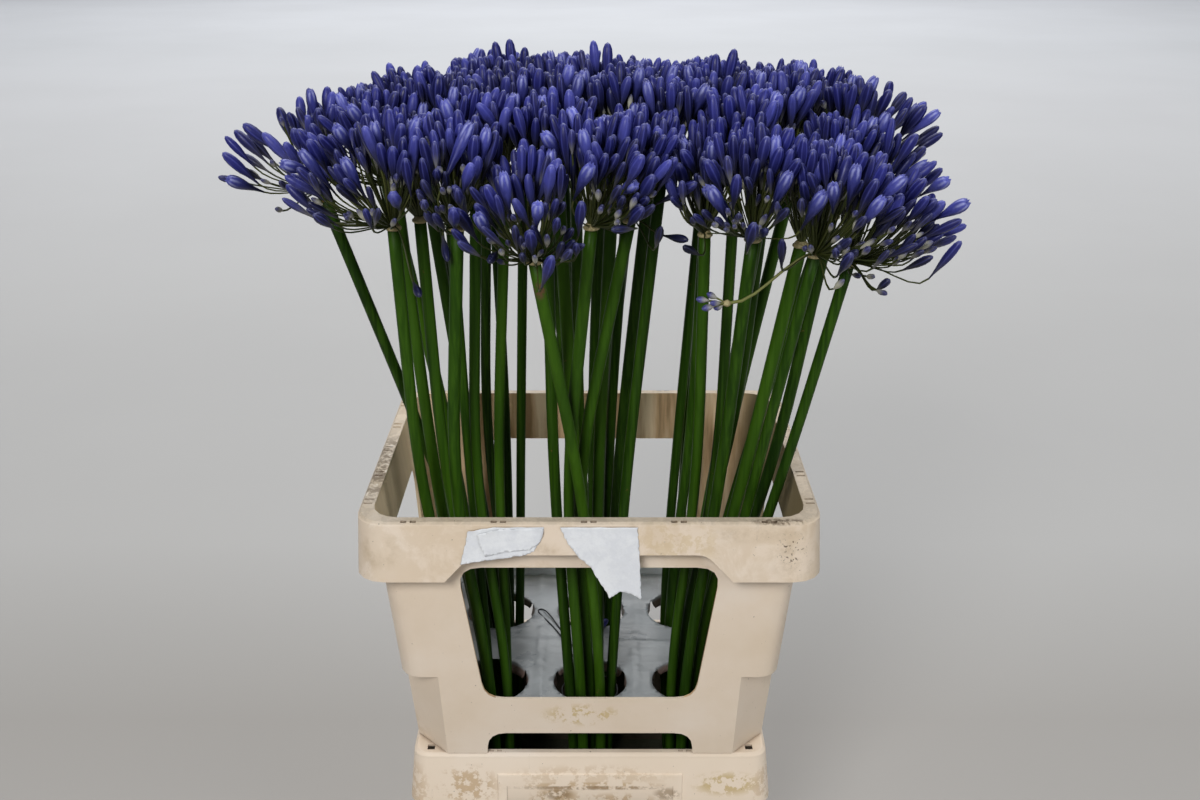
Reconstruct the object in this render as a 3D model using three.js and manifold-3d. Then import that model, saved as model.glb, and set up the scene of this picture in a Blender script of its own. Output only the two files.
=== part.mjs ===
// A flower-trade container of cut agapanthus in bud: a tapered bucket holding water, a windowed
// collar standing on its rim, a film sheet with six holes, and 42 flowers in six bunches.
//
// Millimetres, +Z up, +Y away from the front. The origin is the centre of the bucket's underside.

import * as THREE from 'three';
import { mergeVertices } from 'three/addons/utils/BufferGeometryUtils.js';
import { ConvexGeometry } from 'three/addons/geometries/ConvexGeometry.js';
import Module from 'manifold-3d';

const wasm = await Module();
wasm.setup();

// ---- driving dimensions ----

const bucketHeight = 262;
const collarHeight = 294;
const rimHeight = bucketHeight + collarHeight;
const gap = 0.3;                // between pieces that rest on or against each other
const wall = 3;                 // plastic wall of the bucket and the collar

// The collar's inner faces: half-width, half-depth and corner size at depths below its rim. Its
// body has round corners, which end in a ledge over the chamfered corners of its foot.
const bodyInner = [
  { below: 0, x: 207.6, y: 157.8, corner: 26 },
  { below: 62, x: 201.2, y: 152, corner: 20 },
  { below: 191, x: 191.2, y: 139.5, corner: 21 },
];
const footInner = [
  { below: 191, x: 191.2, y: 139.5, corner: 38 },
  { below: collarHeight, x: 182.2, y: 128.6, corner: 33 },
];
const band = { deep: 62, shallow: 33.5, flare: 3.5, top: { x: 222.2, y: 170, corner: 28 } };

const filmBelow = 244;          // below the collar's rim
const filmThickness = 1;

// The recess in the band, the window and the low arch, in the long and the short sides.
const recess = { long: 112, short: 64, slope: 30, corner: 9 };
const windowLevels = { top: 56, bottom: 219.5 };    // below the collar's rim
const windowHalf = { long: { top: 128.5, bottom: 108 }, short: { top: 84, bottom: 66 } };
const windowCorner = { top: 24, bottom: 20 };
const arch = { top: 266, long: 108.6, short: 60, corner: 19 };

const bucketRim = { x: 187.6, y: 133, corner: 16 };
const bucketMouth = { x: 176, y: 124, corner: 32.6 };
const bucketFloor = { x: 163, y: 111, corner: 28 };
const floorThickness = 4;
const bucketBand = { deep: 62, flare: 6 };
const raisedPanel = { width: 196, height: 38, proud: 1.6 };     // for a label, on the front
const waterLevel = 92;

const holePitchX = 107;
const holeY = 71;
const holeRadius = 40;

const umbelReach = 105;         // from the top of the stem to the tips of the buds
const budLength = 46;
const budRadius = 8.6;
const budSpacing = 22;
const budsPerUmbel = 16;
const dome = 1.3;               // widest angle of a bud's stalk from the flower's axis, radians
const stalkRadius = 2.1;
const stemRadius = { least: 5.5, most: 6.6 };
const stemSpread = { foot: 9, film: 22.5 };           // of the six stems round the middle one

const labelThickness = 0.6;
const elasticRadius = 0.9;
const elasticUnder = 12;        // below the film

// ---- the flowers ----

// Each flower: where its stalk ends and its umbel begins (across, deep, height above the rim),
// and how far across the stalk is as it passes the rim. Each bunch of seven stands in one hole
// of the film.
const bunches = [
  {
    name: 'left_front', column: -1, row: -1,
    flowers: [
      [-173, -128, 273, -168], [-116, -131, 273, -136], [-156, -80, 268, -146],
      [-104, -78, 286, -117], [-184, -36, 288, -160], [-136, -24, 303, -124],
      [-79, -30, 306, -95],
    ],
  },
  {
    name: 'left_rear', column: -1, row: 1,
    flowers: [
      [-263, 6, 272, -184], [-210, 54, 286, -158], [-166, 30, 298, -134],
      [-102, 26, 308, -116], [-172, 108, 286, -140], [-106, 118, 302, -96],
      [-68, 78, 306, -78],
    ],
  },
  {
    name: 'middle_front', column: 0, row: -1,
    flowers: [
      [-47, -153, 249, -6], [3, -131, 274, -24], [38, -94, 271, -15],
      [-38, -92, 284, -36], [-30, -38, 306, -14], [24, -38, 310, 8],
      [68, -54, 302, 37],
    ],
  },
  {
    name: 'middle_rear', column: 0, row: 1,
    flowers: [
      [-44, 18, 312, -22], [12, 18, 312, 2], [62, 4, 310, 33],
      [-14, 72, 309, -14], [42, 66, 308, 22], [-30, 126, 293, -16],
      [48, 124, 292, 18],
    ],
  },
  {
    name: 'right_front', column: 1, row: -1,
    flowers: [
      [106, -106, 261, 108], [146, -135, 264, 128], [201, -140, 251, 159],
      [197, -87, 246, 154], [240, -100, 231, 191], [136, -62, 283, 130],
      [232, -43, 262, 187],
    ],
  },
  {
    name: 'right_rear', column: 1, row: 1,
    flowers: [
      [116, -6, 305, 110], [172, -26, 296, 140], [250, 18, 290, 178],
      [118, 54, 304, 98], [182, 36, 300, 160], [216, 84, 290, 158],
      [128, 114, 290, 110],
    ],
  },
];
const sideShootOf = 'umbel_right_front_3';   // it has a withered shoot hanging from its base

// ---- materials ----

const material = (color, roughness, options = {}) =>
  new THREE.MeshStandardMaterial({ color, roughness, metalness: 0, ...options });

const cream = material(0xdcc4a4, 0.55);
const stemGreen = material(0x2c5418, 0.5);
const budBlue = material(0x4a4aa8, 0.5);
const filmGrey = material(0xaab0b2, 0.25, { transparent: true, opacity: 0.8 });
const waterClear = material(0xb8c4c0, 0.05, { transparent: true, opacity: 0.5 });
const labelWhite = material(0xe9ebee, 0.8);
const elasticBlack = material(0x16161c, 0.7);

// ---- small helpers ----

function seededRandom(seed) {
  let state = seed >>> 0;
  return () => {
    state = (state + 0x6d2b79f5) >>> 0;
    let t = Math.imul(state ^ (state >>> 15), state | 1);
    t = (t + Math.imul(t ^ (t >>> 7), t | 61)) ^ t;
    return ((t ^ (t >>> 14)) >>> 0) / 4294967296;
  };
}

// A closed geometry as a solid that can be joined and cut.
function solid(geometry) {
  const bare = geometry.clone();
  bare.deleteAttribute('normal');
  bare.deleteAttribute('uv');
  const merged = mergeVertices(bare, 1e-5);
  return new wasm.Manifold(new wasm.Mesh({
    numProp: 3,
    vertProperties: new Float32Array(merged.attributes.position.array),
    triVerts: new Uint32Array(merged.index.array),
  }));
}

function namedMesh(name, shape, surface) {
  const { vertProperties, triVerts } = shape.getMesh();
  const geometry = new THREE.BufferGeometry();
  geometry.setAttribute('position', new THREE.BufferAttribute(new Float32Array(vertProperties), 3));
  geometry.setIndex(new THREE.BufferAttribute(new Uint32Array(triVerts), 1));
  geometry.computeVertexNormals();
  const mesh = new THREE.Mesh(geometry, surface);
  mesh.name = name;
  return mesh;
}

function joined(shapes) {
  return shapes.reduce((sum, shape) => sum.add(shape));
}

// A solid skinned over rings of equally many points. The first ring is the lowest, and each
// runs anticlockwise seen from the last ring's side. A ring may be a single point.
function skinned(rings) {
  const positions = [];
  const index = [];
  const starts = rings.map((ring) => {
    const start = positions.length / 3;
    ring.forEach((p) => positions.push(p.x, p.y, p.z));
    return start;
  });
  for (let k = 0; k + 1 < rings.length; k++) {
    const [low, high] = [rings[k], rings[k + 1]];
    const count = Math.max(low.length, high.length);
    for (let i = 0; i < count; i++) {
      const j = (i + 1) % count;
      const a = starts[k] + (low.length > 1 ? i : 0);
      const b = starts[k] + (low.length > 1 ? j : 0);
      const c = starts[k + 1] + (high.length > 1 ? j : 0);
      const d = starts[k + 1] + (high.length > 1 ? i : 0);
      if (a !== b) index.push(a, b, c);
      if (c !== d) index.push(a, c, d);
    }
  }
  const first = starts[0];
  for (let i = 1; i + 1 < rings[0].length; i++) index.push(first, first + i + 1, first + i);
  const last = starts[rings.length - 1];
  for (let i = 1; i + 1 < rings.at(-1).length; i++) index.push(last, last + i, last + i + 1);
  const geometry = new THREE.BufferGeometry();
  geometry.setAttribute('position', new THREE.Float32BufferAttribute(positions, 3));
  geometry.setIndex(index);
  return solid(geometry);
}

function roundRing(center, radius, sides) {
  return Array.from({ length: sides }, (_, i) => {
    const angle = (2 * Math.PI * i) / sides;
    return new THREE.Vector3(
      center.x + radius * Math.cos(angle), center.y + radius * Math.sin(angle), center.z);
  });
}

// A rectangle with rounded or chamfered corners, level at height z.
function boxRing(size, z, chamfered = false) {
  const steps = chamfered ? 1 : 4;
  const points = [];
  for (let quarter = 0; quarter < 4; quarter++) {
    const signX = quarter === 0 || quarter === 3 ? 1 : -1;
    const signY = quarter < 2 ? 1 : -1;
    for (let i = 0; i <= steps; i++) {
      const angle = (Math.PI / 2) * (quarter + i / steps);
      points.push(new THREE.Vector3(
        signX * (size.x - size.corner) + size.corner * Math.cos(angle),
        signY * (size.y - size.corner) + size.corner * Math.sin(angle),
        z));
    }
  }
  return points;
}

const grown = (size, by) => ({ x: size.x + by, y: size.y + by, corner: size.corner + 0.6 * by });

// The size between two levels, at the fraction t of the way from a to b.
const mixed = (a, b, t) => ({
  x: THREE.MathUtils.lerp(a.x, b.x, t),
  y: THREE.MathUtils.lerp(a.y, b.y, t),
  corner: THREE.MathUtils.lerp(a.corner, b.corner, t),
});

const between = (above, under, below) =>
  mixed(above, under, (below - above.below) / (under.below - above.below));
const footInnerAt = (below) => between(...footInner, below);

const bucketInnerAt = (z) =>
  mixed(bucketFloor, bucketMouth, (z - floorThickness) / (bucketHeight - floorThickness));

// An outline with its corners rounded by the radius given with each point.
function roundedShape(corners) {
  const shape = new THREE.Shape();
  corners.forEach(([x, y, radius = 0], i) => {
    const here = new THREE.Vector2(x, y);
    const [px, py] = corners.at(i - 1);
    const [nx, ny] = corners[(i + 1) % corners.length];
    const before = new THREE.Vector2(px, py).sub(here).setLength(radius).add(here);
    const after = new THREE.Vector2(nx, ny).sub(here).setLength(radius).add(here);
    if (i === 0) shape.moveTo(before.x, before.y);
    else shape.lineTo(before.x, before.y);
    if (radius > 0) shape.quadraticCurveTo(x, y, after.x, after.y);
  });
  shape.closePath();
  return shape;
}

// An outline drawn in X and Z (or in Y and Z, along X), pushed from one depth to another.
function pushedThrough(shape, from, to, alongX = false) {
  const geometry = new THREE.ExtrudeGeometry(shape, {
    depth: to - from, bevelEnabled: false, curveSegments: 4,
  });
  geometry.rotateX(Math.PI / 2);
  geometry.translate(0, to, 0);
  if (alongX) geometry.rotateZ(-Math.PI / 2);
  return solid(geometry);
}

// ---- the collar ----

// An upturned channel that runs round the top of a tub: its skirt hangs clear of the wall.
function rimChannel(top, topZ, depth, flare) {
  const bottom = grown(top, flare);
  const outer = skinned([
    boxRing(bottom, topZ - depth),
    boxRing(top, topZ - wall),
    boxRing(grown(top, -wall), topZ),
  ]);
  const hollow = skinned([
    boxRing(grown(bottom, -wall + 0.1), topZ - depth - 2),
    boxRing(grown(top, -wall), topZ - wall - 1),
  ]);
  return outer.subtract(hollow);
}

function mirroredPair(shape, from, to, alongX) {
  return pushedThrough(shape, from, to, alongX).add(pushedThrough(shape, -to, -from, alongX));
}

function collar() {
  const at = (below) => rimHeight - below;
  const [rim, bandEnd, ledge] = bodyInner;
  const [underLedge, foot] = footInner;
  const body = skinned([
    boxRing(grown(ledge, wall), at(ledge.below)),
    boxRing(grown(bandEnd, wall), at(bandEnd.below)),
    boxRing(grown(rim, wall), at(1)),
  ]);
  const lower = skinned([
    boxRing(grown(foot, wall), bucketHeight + gap, true),
    boxRing(grown(underLedge, wall), at(ledge.below - 1), true),
  ]);
  const inside = skinned([
    boxRing(ledge, at(ledge.below - wall)),
    boxRing(bandEnd, at(bandEnd.below)),
    boxRing(grown(rim, 0.2), at(-1)),
  ]);
  const insideFoot = skinned([
    boxRing(foot, bucketHeight - 1, true),
    boxRing(underLedge, at(ledge.below - wall - 1), true),
  ]);

  const channel = rimChannel(band.top, rimHeight, band.deep, band.flare);
  const recessShape = (half) => roundedShape([
    [-half, at(band.shallow), recess.corner], [half, at(band.shallow), recess.corner],
    [half + recess.slope, at(band.deep + 4)], [-half - recess.slope, at(band.deep + 4)],
  ]);
  const skirt = (side) => [side - 7, side + 20];
  const skirtCut = mirroredPair(recessShape(recess.long), ...skirt(band.top.y))
    .add(mirroredPair(recessShape(recess.short), ...skirt(band.top.x), true));

  const windowShape = ({ top, bottom }) => roundedShape([
    [-bottom, at(windowLevels.bottom), windowCorner.bottom],
    [bottom, at(windowLevels.bottom), windowCorner.bottom],
    [top, at(windowLevels.top), windowCorner.top],
    [-top, at(windowLevels.top), windowCorner.top],
  ]);
  const archShape = (half) => roundedShape([
    [-half, bucketHeight - 5], [half, bucketHeight - 5],
    [half - 2, at(arch.top), arch.corner], [-half + 2, at(arch.top), arch.corner],
  ]);
  const across = band.top.x + 40;
  const cuts = joined([
    pushedThrough(windowShape(windowHalf.long), -across, across),
    pushedThrough(archShape(arch.long), -across, across),
    pushedThrough(windowShape(windowHalf.short), -across, across, true),
    pushedThrough(archShape(arch.short), -across, across, true),
  ]);
  return body.add(lower).subtract(inside).subtract(insideFoot).subtract(cuts)
    .add(channel.subtract(skinned([
      boxRing(grown(bandEnd, wall - 0.5), at(bandEnd.below)),
      boxRing(grown(rim, wall - 0.5), at(1)),
      boxRing(grown(rim, 0.2), at(1)),
      boxRing(grown(rim, 0.2), at(-1)),
    ])).subtract(skirtCut));
}

// ---- the bucket and what is in it ----

function bucket() {
  const body = skinned([
    boxRing(grown(bucketFloor, wall - 0.3), 0, true),
    boxRing(grown(bucketMouth, wall), bucketHeight - 1, true),
  ]);
  const channel = rimChannel(bucketRim, bucketHeight, bucketBand.deep, bucketBand.flare);
  const cavity = skinned([
    boxRing(bucketFloor, floorThickness, true),
    boxRing(bucketMouth, bucketHeight, true),
    boxRing(bucketMouth, bucketHeight + 5, true),
  ]);
  const { width, height, proud } = raisedPanel;
  const inFront = new THREE.BoxGeometry(width, bucketRim.y, height)
    .translate(0, -1.4 * bucketRim.y, bucketHeight - bucketBand.deep + height / 2);
  const raised = rimChannel(
    grown(bucketRim, proud), bucketHeight, bucketBand.deep, bucketBand.flare)
    .intersect(solid(inFront));
  return body.add(channel).add(raised).subtract(cavity);
}

function film() {
  const top = rimHeight - filmBelow;
  const sheet = skinned([
    boxRing(grown(footInnerAt(filmBelow + filmThickness), -gap), top - filmThickness, true),
    boxRing(grown(footInnerAt(filmBelow), -gap), top, true),
  ]);
  const holes = bunches.map((bunch) => {
    const center = new THREE.Vector3(bunch.column * holePitchX, bunch.row * holeY, top - 5);
    return skinned([
      roundRing(center, holeRadius, 16),
      roundRing(center.clone().setZ(top + 5), holeRadius, 16),
    ]);
  });
  return sheet.subtract(joined(holes));
}

function water(stemBunches) {
  const body = skinned([
    boxRing(grown(bucketFloor, -gap), floorThickness + gap, true),
    boxRing(grown(bucketInnerAt(waterLevel), -gap), waterLevel, true),
  ]);
  const holes = stemBunches.map((stems) =>
    skinned([floorThickness - 1, waterLevel + 1].map((z) => {
      const { middle, radius } = circleRound(stems, z);
      return roundRing(middle, radius + 2, 12);
    })));
  return body.subtract(joined(holes));
}

// ---- stems ----

const stemFoot = floorThickness + gap;
const filmLevel = rimHeight - filmBelow;

// A stem passes through four points: foot, film hole, collar rim and the base of its umbel.
class Stem {
  constructor(points, radius) {
    this.points = points;
    this.radius = radius;
  }

  pointAt(z) {
    const p = this.points;
    const above = p.findIndex((point) => point.z >= z);
    const i = THREE.MathUtils.clamp(above - 1, 0, p.length - 2);
    return p[i].clone().lerp(p[i + 1], (z - p[i].z) / (p[i + 1].z - p[i].z));
  }

  get top() {
    return this.points.at(-1);
  }

  solid() {
    return skinned(this.points.map((p) => roundRing(p, this.radius, 6)));
  }

  // How far a point is from the stem's axis.
  distanceTo(point) {
    const closest = new THREE.Vector3();
    const spans = this.points.slice(1).map((p, i) => {
      new THREE.Line3(this.points[i], p).closestPointToPoint(point, true, closest);
      return closest.distanceTo(point);
    });
    return Math.min(...spans);
  }
}

// The circle that a bunch of stems fills at a height.
function circleRound(stems, z) {
  const points = stems.map((stem) => stem.pointAt(z));
  const middle = points.reduce((sum, p) => sum.add(p), new THREE.Vector3())
    .divideScalar(points.length);
  const reach = stems.map((stem) => stem.pointAt(z).distanceTo(middle) + stem.radius);
  return { middle, radius: Math.max(...reach) };
}

// At the rim a stem is halfway between its place in the hole and its umbel, front to back. The
// stem nearest the middle of its bunch there stands in the middle of the hole, and the other six
// stand round it in the order they have at the rim.
function stemsOf(bunch, random) {
  const hole = new THREE.Vector3(bunch.column * holePitchX, bunch.row * holeY, filmLevel);
  const flowers = bunch.flowers.map(([x, y, z, rimX]) => ({
    top: new THREE.Vector3(x, y, rimHeight + z),
    atRim: new THREE.Vector3(rimX, (y + hole.y) / 2, rimHeight),
    radius: THREE.MathUtils.lerp(stemRadius.least, stemRadius.most, random()),
  }));
  const mean = flowers.reduce((sum, flower) => sum.add(flower.atRim), new THREE.Vector3())
    .divideScalar(flowers.length);
  const away = (flower) => flower.atRim.distanceTo(mean);
  const turn = (flower) => Math.atan2(flower.atRim.y - mean.y, flower.atRim.x - mean.x);
  const middle = flowers.reduce((best, flower) => (away(flower) < away(best) ? flower : best));
  const ring = flowers.filter((flower) => flower !== middle).sort((a, b) => turn(a) - turn(b));
  const start = turn(ring[0]);
  const place = (flower, spread, z) => {
    const angle = start + (Math.PI / 3) * ring.indexOf(flower);
    const reach = flower === middle ? 0 : spread;
    return new THREE.Vector3(
      hole.x + reach * Math.cos(angle), hole.y + reach * Math.sin(angle), z);
  };
  return flowers.map((flower) => new Stem([
    place(flower, stemSpread.foot, stemFoot), place(flower, stemSpread.film, filmLevel),
    flower.atRim, flower.top,
  ], flower.radius));
}

// ---- umbels ----

// How far an umbel may spread in a direction before it meets the next one: each keeps to its
// own side of the line midway between their bases.
function roomToSide(base, others, direction) {
  const rooms = others.map((other) => {
    const toOther = new THREE.Vector2(other.x - base.x, other.y - base.y);
    const facing = toOther.dot(direction);
    if (facing <= 0) return Infinity;
    return (toOther.lengthSq() / 2 - toOther.length() * (budRadius + 0.5)) / facing;
  });
  return Math.min(...rooms);
}

// Every place a bud's tip could take: on a dome round the stem's end that leans half as much as
// the stem, and drawn in upright where the next umbel is in the way.
function possibleTips(stem, others, random) {
  const base = stem.top;
  const upright = new THREE.Vector3(0, 0, 1);
  const lean = base.clone().sub(stem.points.at(-2)).normalize().add(upright).normalize();
  const tilt = new THREE.Quaternion().setFromUnitVectors(upright, lean);
  const tips = [];
  const rows = 8;
  for (let row = 0; row <= rows; row++) {
    const polar = (dome * row) / rows;
    const around = Math.max(1, Math.round(26 * Math.sin(polar)));
    for (let i = 0; i < around; i++) {
      const azimuth = (2 * Math.PI * (i + 0.5 * (row % 2))) / around;
      const reach = umbelReach * (0.88 + 0.12 * random());
      const tip = new THREE.Vector3().setFromSphericalCoords(reach, polar, azimuth);
      tip.set(tip.z, tip.x, tip.y).applyQuaternion(tilt);
      const sideways = new THREE.Vector2(tip.x, tip.y);
      const room = roomToSide(base, others, sideways.clone().normalize());
      if (sideways.length() > room) {
        sideways.setLength(room);
        tip.set(sideways.x, sideways.y, Math.sqrt(reach ** 2 - room ** 2));
      }
      tips.push(tip);
    }
  }
  return tips;
}

// Spreads the buds evenly: the next one always takes the place furthest from those chosen.
function evenlyChosen(tips, count, spacing) {
  const chosen = [tips[0]];
  const distance = tips.map((tip) => tip.distanceTo(tips[0]));
  while (chosen.length < count) {
    const far = distance.indexOf(Math.max(...distance));
    if (distance[far] < spacing) break;
    chosen.push(tips[far]);
    tips.forEach((tip, i) => {
      distance[i] = Math.min(distance[i], tip.distanceTo(tips[far]));
    });
  }
  return chosen;
}

// One flower bud on its stalk: a long stalk from the umbel's middle, a swelling and a point.
function budOnStalk(root, tip, length, radius) {
  const along = tip.clone().sub(root).normalize();
  const side = new THREE.Vector3(0, 0, 1).cross(along);
  if (side.length() < 0.1) side.set(1, 0, 0).cross(along);
  side.normalize();
  const other = along.clone().cross(side);
  const ringAt = (back, r) => Array.from({ length: 4 }, (_, i) => {
    const angle = (Math.PI / 2) * i;
    return tip.clone().addScaledVector(along, -back)
      .addScaledVector(side, r * Math.cos(angle)).addScaledVector(other, r * Math.sin(angle));
  });
  return skinned([
    [root], ringAt(length, stalkRadius), ringAt(length * 0.36, radius), [tip],
  ]);
}

// The packed middle of an umbel, where the stalks of its buds are too close to tell apart.
function heart(base, footRadius, room) {
  const ringAt = (share, height) => Array.from({ length: 6 }, (_, i) => {
    const angle = (2 * Math.PI * i) / 6;
    const direction = new THREE.Vector2(Math.cos(angle), Math.sin(angle));
    const reach = share * Math.min(0.3 * umbelReach, 0.5 * room(direction));
    return new THREE.Vector3(
      base.x + reach * direction.x, base.y + reach * direction.y, base.z + height);
  });
  return skinned([
    roundRing(base, footRadius, 6), ringAt(1, 0.17 * umbelReach), ringAt(0.7, 0.38 * umbelReach),
  ]);
}

function umbel(stem, otherStems, random) {
  const base = stem.top.clone().setZ(stem.top.z + gap);
  const others = otherStems.map((other) => other.top);
  const clear = (tip) => otherStems.every((other) =>
    [0.35, 0.5, 0.65, 0.8, 0.9, 1].every((t) => {
      const point = base.clone().addScaledVector(tip, t);
      const clearance = t > 0.55 ? budRadius : stalkRadius + 0.4;
      return other.distanceTo(point) > other.radius + clearance + 0.5;
    }));
  const tips = possibleTips(stem, others, random).filter(clear);
  const chosen = evenlyChosen(tips, budsPerUmbel, budSpacing);
  const root = base.clone().setZ(base.z + 4);
  const buds = chosen.map((tip) =>
    budOnStalk(root, base.clone().add(tip), budLength * (0.85 + 0.15 * random()), budRadius));
  const room = (direction) => roomToSide(base, others, direction);
  return joined([heart(base, stem.radius + 0.8, room), ...buds]);
}

// A thin withered shoot that hangs forward from the base of one umbel, with a few small buds.
function sideShoot(stem) {
  const base = stem.top;
  const root = base.clone().add(new THREE.Vector3(-1, -1, 4));
  const end = base.clone().add(new THREE.Vector3(-78, -19, -38));
  const stalk = budOnStalk(root, end, 14, 2.2);
  const tips = [[-104, -22, -30], [-100, -24, -42], [-92, -16, -32]];
  const buds = tips.map(([x, y, z]) => budOnStalk(
    end.clone().lerp(root, 0.1), base.clone().add(new THREE.Vector3(x, y, z)), 16, 3.4));
  return joined([stalk, ...buds]);
}

// ---- small pieces ----

// Two torn label remnants lie on the front of the collar's band; the second hangs below it.
function label(outline) {
  const slope = band.flare / band.deep;
  const geometry = new THREE.ExtrudeGeometry(new THREE.Shape(
    outline.map(([x, below]) => new THREE.Vector2(x, -below))), {
    depth: labelThickness, bevelEnabled: false,
  });
  geometry.rotateX(Math.PI / 2);
  geometry.rotateX(-Math.atan(slope));
  geometry.translate(0, -(band.top.y - slope * wall) - gap - 0.05, rimHeight);
  return solid(geometry);
}

const labelOutlines = {
  label_left: [
    [-114, 8], [-90, 4], [-42, 4], [-44, 14], [-52, 29], [-62, 33],
    [-91, 38], [-110, 40], [-122, 43], [-117, 22],
  ],
  label_right: [
    [-27, 4], [46, 4], [48, 31], [50, 79], [40, 73], [30, 71], [20, 78],
    [9, 59], [2, 45], [-9, 36], [-20, 20],
  ],
};

// A rubber band round the middle front bunch, just under the film. Its spare loop comes up past
// the edge of the hole and lies on the film.
function elastic(stems, hole) {
  const { middle, radius: bunchRadius } = circleRound(stems, filmLevel - elasticUnder);
  const hug = bunchRadius + elasticRadius + 1.3;
  const loopBend = new THREE.Vector3(-37, 26, filmLevel + 1.6);
  const loopEnd = new THREE.Vector3(-60, 68, filmLevel + 1.2);
  const toward = Math.atan2(loopBend.y - middle.y, loopBend.x - middle.x);
  const around = (center, reach, angle, z) => new THREE.Vector3(
    center.x + reach * Math.cos(angle), center.y + reach * Math.sin(angle), z);
  const points = [];
  for (let i = 0; i <= 8; i++) {
    const angle = toward + Math.PI * (0.25 + (1.5 * i) / 8);
    points.push(around(middle, hug, angle, filmLevel - elasticUnder));
  }
  const side = new THREE.Vector3(-Math.sin(toward), Math.cos(toward), 0);
  const strand = (away) => [
    around(hole, holeRadius - 3, toward + 0.1 * away, filmLevel - 2.5),
    around(hole, holeRadius - 2.2, toward + 0.1 * away, filmLevel + 1.8),
    around(hole, holeRadius + 8, toward + 0.07 * away, filmLevel + 1.8),
    loopBend.clone().addScaledVector(side, 2.6 * away),
    loopEnd.clone().addScaledVector(side, 3 * away),
  ];
  points.push(...strand(-1), ...strand(1).reverse());
  const path = new THREE.CatmullRomCurve3(points, true, 'centripetal');
  const steps = 2 * points.length;
  const sides = [[1, 0], [0, 1], [-1, 0], [0, -1]];
  const positions = [];
  const index = [];
  for (let i = 0; i < steps; i++) {
    const center = path.getPoint(i / steps);
    const along = path.getTangent(i / steps);
    const out = new THREE.Vector3(along.y, -along.x, 0).normalize();
    sides.forEach(([a, b], k) => {
      const p = center.clone().addScaledVector(out, elasticRadius * a);
      positions.push(p.x, p.y, p.z + elasticRadius * b);
      const [here, next, l] = [4 * i, 4 * ((i + 1) % steps), (k + 1) % 4];
      index.push(here + k, next + l, here + l, here + k, next + k, next + l);
    });
  }
  const geometry = new THREE.BufferGeometry();
  geometry.setAttribute('position', new THREE.Float32BufferAttribute(positions, 3));
  geometry.setIndex(index);
  return solid(geometry);
}

// ---- the object ----

const random = seededRandom(11);
const stemBunches = bunches.map((bunch) => stemsOf(bunch, random));
const allStems = stemBunches.flat();

const container = new THREE.Group();
container.add(namedMesh('bucket', bucket(), cream));
container.add(namedMesh('collar', collar(), cream));
container.add(namedMesh('film', film(), filmGrey));
container.add(namedMesh('water', water(stemBunches), waterClear));
Object.entries(labelOutlines).forEach(([name, outline]) =>
  container.add(namedMesh(name, label(outline), labelWhite)));
const middleHole = new THREE.Vector3(0, -holeY, filmLevel);
container.add(namedMesh('elastic', elastic(stemBunches[2], middleHole), elasticBlack));

const flowers = new THREE.Group();
bunches.forEach((bunch, b) => {
  const stems = stemBunches[b];
  flowers.add(namedMesh(`stems_${bunch.name}`, joined(stems.map((s) => s.solid())), stemGreen));
  stems.forEach((stem, i) => {
    const name = `umbel_${bunch.name}_${i + 1}`;
    const head = umbel(stem, allStems.filter((other) => other !== stem), random);
    const shape = name === sideShootOf ? head.add(sideShoot(stem)) : head;
    flowers.add(namedMesh(name, shape, budBlue));
  });
});

const agapanthus = new THREE.Group();
agapanthus.add(container, flowers);

export default agapanthus;
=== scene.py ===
"""Cut agapanthus in bud, in a windowed collar on a flower bucket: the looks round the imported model.

Metres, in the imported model's frame: +Z up, +Y away from the front, origin under the bucket.
"""

import itertools
import math
import random
from collections import namedtuple
from functools import partial, reduce

import bmesh
import bpy
import numpy as np
from mathutils import Matrix, Vector, geometry, noise


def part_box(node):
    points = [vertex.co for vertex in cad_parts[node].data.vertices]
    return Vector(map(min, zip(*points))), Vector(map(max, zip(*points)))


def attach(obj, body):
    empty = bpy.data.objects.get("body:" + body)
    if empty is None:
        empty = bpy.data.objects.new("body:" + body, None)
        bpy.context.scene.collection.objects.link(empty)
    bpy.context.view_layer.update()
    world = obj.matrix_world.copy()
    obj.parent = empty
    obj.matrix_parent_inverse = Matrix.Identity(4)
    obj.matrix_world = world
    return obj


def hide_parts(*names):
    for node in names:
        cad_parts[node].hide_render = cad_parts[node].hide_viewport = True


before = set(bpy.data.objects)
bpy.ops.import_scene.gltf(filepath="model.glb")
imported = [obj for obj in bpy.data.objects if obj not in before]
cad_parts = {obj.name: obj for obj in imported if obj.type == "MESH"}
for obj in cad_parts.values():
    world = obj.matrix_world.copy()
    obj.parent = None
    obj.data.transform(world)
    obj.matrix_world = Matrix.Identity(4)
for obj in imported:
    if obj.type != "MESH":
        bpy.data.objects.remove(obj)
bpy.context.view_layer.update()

# ---- sizes, as the solids have them ----

MM = 0.001
BUCKET_HEIGHT = 262 * MM
RIM = 556 * MM                      # the collar's rim
FILM = RIM - 244 * MM               # the top of the film
HOLE_PITCH_X, HOLE_Y, HOLE_RADIUS = 107 * MM, 71 * MM, 40 * MM
FOOT = 4.3 * MM                     # where the cut stems stand
STEM_SPREAD = {FOOT: 9 * MM, FILM: 22.5 * MM}
STEM_RADIUS = (5.6 * MM, 6.6 * MM)
BAND_FRONT_Y, BAND_SLOPE = -169.8 * MM, 3.5 / 62
UMBEL_REACH = 105 * MM
FILM_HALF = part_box("film")[1][0] - 0.6 * MM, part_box("film")[1][1] - 0.6 * MM

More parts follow.
